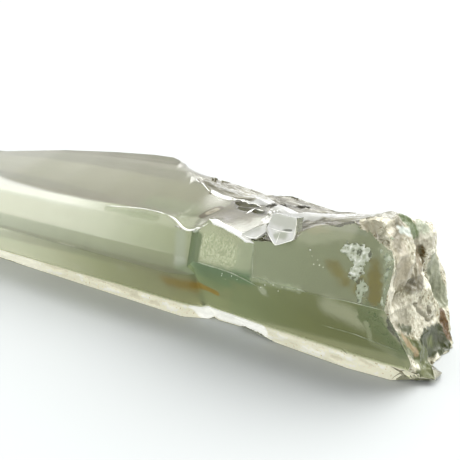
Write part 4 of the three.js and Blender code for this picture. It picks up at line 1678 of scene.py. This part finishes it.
@dataclass(frozen=True)
class Veil:
    """A crumpled white sheet of healed cracks at the face of the quartz.

    Args:
        name: the piece's name.
        front: the face that it lies on.
        outline: its corners, in X and Z.
        lift: how far it stands off the face.
        crumple: how high its folds are.
        holes: where holes open; lower values leave fewer.
        seed: which pattern to take.
        faint: whether it takes the quieter finish.
        cell: the size of its faces.
        thickness: how thick it is.
        margin: how far its ragged edge may stray past the outline.
        ragged: how far the edge strays.
        edge_size: how far apart the edge strays.
        hole_size: how far apart the holes are.
        fold_size: how far apart the folds are.
    """

    name: str
    front: Front
    outline: tuple[tuple[float, float], ...]
    lift: float
    crumple: float
    holes: float
    seed: int
    faint: bool = False
    cell: float = 0.14
    thickness: float = 0.04
    margin: float = 0.6
    ragged: float = 0.45
    edge_size: float = 0.9
    hole_size: float = 0.55
    fold_size: float = 0.8

    def build(self, finish: bpy.types.Material) -> bpy.types.Object:
        """Makes the sheet.

        Args:
            finish: the material of the sheet.

        Returns:
            The finished piece.
        """
        foot, outward = (np.array(value) for value in self.front.value)
        outline = np.array(self.outline)
        low, high = outline.min(axis=0) - self.margin, outline.max(axis=0) + self.margin
        columns, rows = (np.arange(low[n], high[n], self.cell) for n in range(2))
        x, z = np.meshgrid(columns, rows, indexing="ij")
        noise = Noise(self.seed)
        grid = np.stack([x.ravel(), np.zeros(x.size), z.ravel()], axis=1)
        strays = [self.ragged * noise.layered(grid / self.edge_size + shift, 3) for shift in (0.0, 50.0)]
        whole = noise.layered(grid / self.hole_size + 9.0, 3) > self.holes
        keep = whole & self.inside(grid[:, 0] + strays[0], grid[:, 2] + strays[1])
        keep = keep.reshape(x.shape)
        y = foot[1] - (z - foot[2]) * outward[2] / outward[1]
        relief = noise.ridged(grid / self.fold_size, 3) - RIDGE_MEAN
        sheet = np.stack([x.ravel(), y.ravel(), z.ravel()], axis=1)
        sheet += outward * (self.lift + self.crumple * relief)[:, None]
        index = np.arange(x.size).reshape(x.shape)
        cells = keep[:-1, :-1] & keep[1:, :-1] & keep[1:, 1:] & keep[:-1, 1:]
        quads = np.stack([index[:-1, :-1], index[1:, :-1], index[1:, 1:], index[:-1, 1:]], axis=-1)[cells]
        heights = np.clip(0.5 + 0.6 * relief, 0.0, 1.0)[np.unique(quads)]
        points, faces = self.closed(sheet, quads, outward)
        return finish_piece(self.name, points, faces, np.tile(heights, 2), finish)

    def closed(self, sheet: np.ndarray, quads: np.ndarray, outward: np.ndarray) -> tuple[np.ndarray, list]:
        """Gives the sheet a back and walls all round.

        Args:
            sheet: the front's points.
            quads: the front's faces.
            outward: the way the sheet faces.

        Returns:
            All points and all faces.
        """
        used, quads = np.unique(quads, return_inverse=True)
        quads = quads.reshape(-1, 4)
        front = sheet[used]
        count = len(front)
        edges = quads[:, [[0, 1], [1, 2], [2, 3], [3, 0]]].reshape(-1, 2)
        known = set(map(tuple, edges.tolist()))
        walls = [(b, a, a + count, b + count) for a, b in known if (b, a) not in known]
        faces = quads.tolist() + (quads[:, ::-1] + count).tolist() + walls
        return np.vstack([front, front - outward * self.thickness]), faces

    def inside(self, x: np.ndarray, z: np.ndarray) -> np.ndarray:
        """Marks the places within the outline."""
        within = np.zeros(len(x), dtype=bool)
        for (x0, z0), (x1, z1) in zip(self.outline, self.outline[1:] + self.outline[:1]):
            spans = (z0 > z) != (z1 > z)
            crossing = x0 + (z - z0) * (x1 - x0) / np.where(z1 == z0, 1e-9, z1 - z0)
            within ^= spans & (x < crossing)
        return within


VEILS = (
    Veil(
        "veil_large", Front.UPPER,
        ((-7.9, 17.4), (-7.3, 18.5), (-5.9, 18.6), (-4.2, 18.0), (-3.6, 17.0), (-4.6, 16.4), (-5.4, 15.6),
         (-6.6, 15.9)),
        lift=0.06, crumple=0.2, holes=-0.95, seed=61,
    ),
    Veil(
        "veil_small", Front.UPPER,
        ((-6.4, 15.9), (-4.7, 15.9), (-4.1, 15.2), (-4.9, 14.6), (-6.0, 14.2), (-6.2, 14.8)),
        lift=0.05, crumple=0.18, holes=-0.95, seed=67,
    ),
    Veil(
        "veil_faint", Front.UPPER,
        ((-5.6, 14.5), (-4.1, 14.3), (-3.2, 12.2), (-3.7, 11.5), (-5.0, 12.2)),
        lift=0.02, crumple=0.1, holes=-0.7, seed=71, faint=True,
    ),
    Veil(
        "veil_border", Front.UPPER,
        ((-4.0, 19.5), (-1.4, 19.8), (-1.1, 16.0), (-0.7, 11.9), (-1.4, 11.9), (-1.9, 15.5), (-2.7, 17.6)),
        lift=0.04, crumple=0.12, holes=-0.05, seed=79, faint=True,
    ),
)


@dataclass(frozen=True)
class Specks:
    """Fine grains scattered over patches of the crystal's surface.

    Args:
        name: the piece's name.
        patches: four-cornered areas, in millimetres from the datum, that the grains lie near.
        density: grains for each square millimetre.
        sizes: radius of the smallest and of the largest grain in millimetres.
        seed: which scatter to take.
        slot: the name of a material slot; "chlorite" gives the grains the chlorite finish, any other the
            white bruise finish.
        height: how high the grains stand within the roughness, from 0 to 1.
    """

    name: str
    patches: tuple[tuple[Triple, Triple, Triple, Triple], ...]
    density: float
    sizes: tuple[float, float]
    seed: int
    slot: str = "quartz_crust"
    height: float = 0.7

    def build(self, crystal: bpy.types.Object, finish: bpy.types.Material) -> bpy.types.Object:
        """Makes all the grains as one piece.

        Args:
            crystal: the crystal they lie on.
            finish: the material of the grains.

        Returns:
            The finished piece.
        """
        corners = [place(*corner) for patch in self.patches for corner in patch]
        ground = bpy.data.meshes.new(self.name + "_ground")
        ground.from_pydata(corners, [], [tuple(range(4 * n, 4 * n + 4)) for n in range(len(self.patches))])
        piece = bpy.data.objects.new(self.name, ground)
        bpy.context.scene.collection.objects.link(piece)
        scatter = piece.modifiers.new("scatter", "NODES")
        scatter.node_group = self.scatter_tree()
        values = {
            "Crystal": crystal, "Density": self.density / MM**2, "Smallest": self.sizes[0],
            "Largest": self.sizes[1], "Seed": self.seed, "Finish": finish,
        }
        for item in scatter.node_group.interface.items_tree:
            if item.name in values:
                scatter[item.identifier] = values[item.name]
        grains = bpy.data.meshes.new_from_object(piece.evaluated_get(bpy.context.evaluated_depsgraph_get()))
        piece.modifiers.remove(scatter)
        piece.data = grains
        bpy.data.meshes.remove(ground)
        record(grains, RELIEF, np.full(len(grains.vertices), self.height))
        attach(piece, "root")
        LOG.info("%s: %d faces", self.name, len(grains.polygons))
        return piece

    @staticmethod
    def scatter_tree() -> bpy.types.NodeTree:
        """Builds the nodes that scatter grains over an area and lay them on the crystal."""
        takes = {"Geometry": "Geometry", "Crystal": "Object", "Density": "Float", "Smallest": "Float"}
        takes |= {"Largest": "Float", "Seed": "Int", "Finish": "Material"}
        gives = {"Geometry": "Geometry"}
        wiring, given, out = open_group("scattered_grains", takes, gives, "GeometryNodeTree")
        spread = {"Mesh": given["Geometry"], "Density": given["Density"], "Seed": given["Seed"]}
        points = wiring.node("GeometryNodeDistributePointsOnFaces", spread).outputs["Points"]
        body = wiring.node("GeometryNodeObjectInfo", {"Object": given["Crystal"]}).outputs["Geometry"]
        nearest = wiring.node("GeometryNodeProximity", {0: body}, target_element="FACES").outputs["Position"]
        points = wiring.node("GeometryNodeSetPosition", {"Geometry": points, "Position": nearest}).outputs[0]
        grain = wiring.node("GeometryNodeMeshIcoSphere", {"Radius": MM, "Subdivisions": 1}).outputs["Mesh"]
        sizes = {2: given["Smallest"], 3: given["Largest"], "Seed": given["Seed"]}
        size = wiring.node("FunctionNodeRandomValue", sizes, data_type="FLOAT").outputs[1]
        laid = {"Points": points, "Instance": grain, "Scale": size}
        grains = wiring.node("GeometryNodeInstanceOnPoints", laid).outputs[0]
        whole = wiring.node("GeometryNodeRealizeInstances", {0: grains}).outputs[0]
        done = wiring.node("GeometryNodeSetMaterial", {"Geometry": whole, "Material": given["Finish"]})
        wiring.fill(out, {"Geometry": done.outputs[0]})
        return wiring.tree


SPECKS = (
    # The ridge under the flakes, a patch beside them, and the ridge by the step.
    Specks("white_specks", (
        ((-20.5, -5.0, 11.2), (-12.5, -5.0, 11.6), (-12.5, -5.0, 10.2), (-20.5, -4.8, 9.4)),
        ((-12.5, -3.9, 14.6), (-8.8, -3.9, 14.6), (-8.8, -3.2, 16.8), (-12.5, -3.2, 16.8)),
        ((-27.0, -4.9, 11.0), (-20.0, -4.8, 11.0), (-20.0, -4.4, 9.6), (-26.0, -4.4, 9.8)),
    ), density=0.6, sizes=(0.03, 0.09), seed=5),
    # The end of the shelf.
    Specks("bright_grains", (
        ((-24.6, 6.2, 17.9), (-20.0, 0.8, 18.6), (-18.8, 2.0, 18.8), (-23.2, 7.4, 17.9)),
    ), density=2.2, sizes=(0.05, 0.2), seed=8),
    # The face under the crust.
    Specks("chlorite_grains", (
        ((-4.2, -4.8, 10.8), (0.6, -4.6, 10.6), (0.8, -2.6, 5.4), (-3.2, -3.6, 7.8)),
    ), density=5.0, sizes=(0.03, 0.09), seed=3, slot="chlorite"),
)


# ---------------------------------------------------------------------------------------------- studio


@dataclass
class Studio:
    """A pale floor, soft light from above and behind, and the camera."""

    eye: Triple = (24.459, -73.899, 43.419)
    azimuth: float = 35.0
    elevation: float = 17.0
    lens: float = 50.0
    sensor: float = 36.0
    nearest: float = 0.001
    floor_reach: float = 3.0
    floor_gap: float = 0.06
    light_from: Triple = (0.18, 0.64, 0.75)
    weakest: float = 1.05
    strongest: float = 6.6
    backdrop: float = 1.02
    glow_from: float = 0.66
    glow_to: float = 1.0
    paper: Triple = (0.44, 0.458, 0.455)
    paper_roughness: float = 0.7
    paper_gloss: float = 0.2
    bounces: int = 24

    def build(self) -> None:
        """Sets everything up."""
        self.set_camera()
        self.lay_floor()
        self.set_light()

    def set_camera(self) -> None:
        """Places the camera."""
        turn, rise = math.radians(self.azimuth), math.radians(self.elevation)
        look = Vector((-math.sin(turn) * math.cos(rise), math.cos(turn) * math.cos(rise), -math.sin(rise)))
        data = bpy.data.cameras.new("camera")
        data.lens = self.lens
        data.sensor_width = self.sensor
        data.clip_start = self.nearest
        camera = bpy.data.objects.new("camera", data)
        camera.location = place(*self.eye)
        camera.rotation_euler = look.to_track_quat("-Z", "Y").to_euler()
        bpy.context.scene.collection.objects.link(camera)
        bpy.context.scene.camera = camera

    def lay_floor(self) -> None:
        """Lays the floor just under the crystal."""
        reach, height = self.floor_reach, LOW.z - self.floor_gap * MM
        corners = [(x * reach, y * reach, height) for x, y in ((-1, -1), (1, -1), (1, 1), (-1, 1))]
        mesh = bpy.data.meshes.new("floor")
        mesh.from_pydata(corners, [], [(0, 1, 2, 3)])
        paper = Recipe("floor_paper")
        paper.set({"Base Color": self.paper, "Roughness": self.paper_roughness})
        paper.set({"Specular IOR Level": self.paper_gloss})
        mesh.materials.append(paper.material)
        floor = bpy.data.objects.new("floor", mesh)
        bpy.context.scene.collection.objects.link(floor)

    def set_light(self) -> None:
        """Lights everything from a bright studio that is brightest behind and above."""
        world = bpy.data.worlds.new("studio")
        world.use_nodes = True
        wiring = Wiring(world.node_tree)
        direction = wiring.node("ShaderNodeTexCoord").outputs["Generated"]
        towards = tuple(Vector(self.light_from).normalized())
        glow = wiring.step(wiring.measure("DOT_PRODUCT", direction, towards), self.glow_from, self.glow_to)
        strength = wiring.plus(wiring.times(glow, self.strongest - self.weakest), self.weakest)
        seen = wiring.node("ShaderNodeLightPath").outputs["Is Camera Ray"]
        strength = wiring.math("MAXIMUM", strength, wiring.times(seen, self.backdrop))
        wiring.fill(world.node_tree.nodes["Background"], {"Color": (1.0, 1.0, 1.0), "Strength": strength})
        scene = bpy.context.scene
        scene.world = world
        scene.view_settings.view_transform = "Standard"
        scene.cycles.max_bounces = self.bounces
        scene.cycles.transmission_bounces = self.bounces
        scene.cycles.transparent_max_bounces = self.bounces


def main() -> None:
    """Builds the studio, the crystal and what is caught in it."""
    logging.basicConfig(level=logging.INFO, format="%(name)s: %(message)s")
    Studio().build()
    effects = Effects()
    finishes = {
        Face.GROWN: GreenQuartz().make(effects),
        Face.BROKEN: BREAK.make(effects),
        Face.CRUST: END_CRUST.make(effects),
        Face.RIM: RIM_BRUISE_AND_GLOW.make(effects),
        Face.FLAKE: FLAKE.make(effects),
    }
    crystal = Crystal().build(finishes)
    surface = Surface(crystal)
    chlorite, bruise_and_glint = Chlorite().make(), BRUISE_AND_GLOW.make(effects)
    EDGE_BRUISES_AND_GLINTS.build(surface, bruise_and_glint)
    healed, veiled = HEALED.make(effects), VEIL.make(effects)
    HEALED_EDGES.build(surface, healed)
    for specks in SPECKS:
        specks.build(crystal, chlorite if specks.slot == "chlorite" else bruise_and_glint)
    for veil in VEILS:
        veil.build(healed if veil.faint else veiled)


if __name__ == "__main__":
    main()
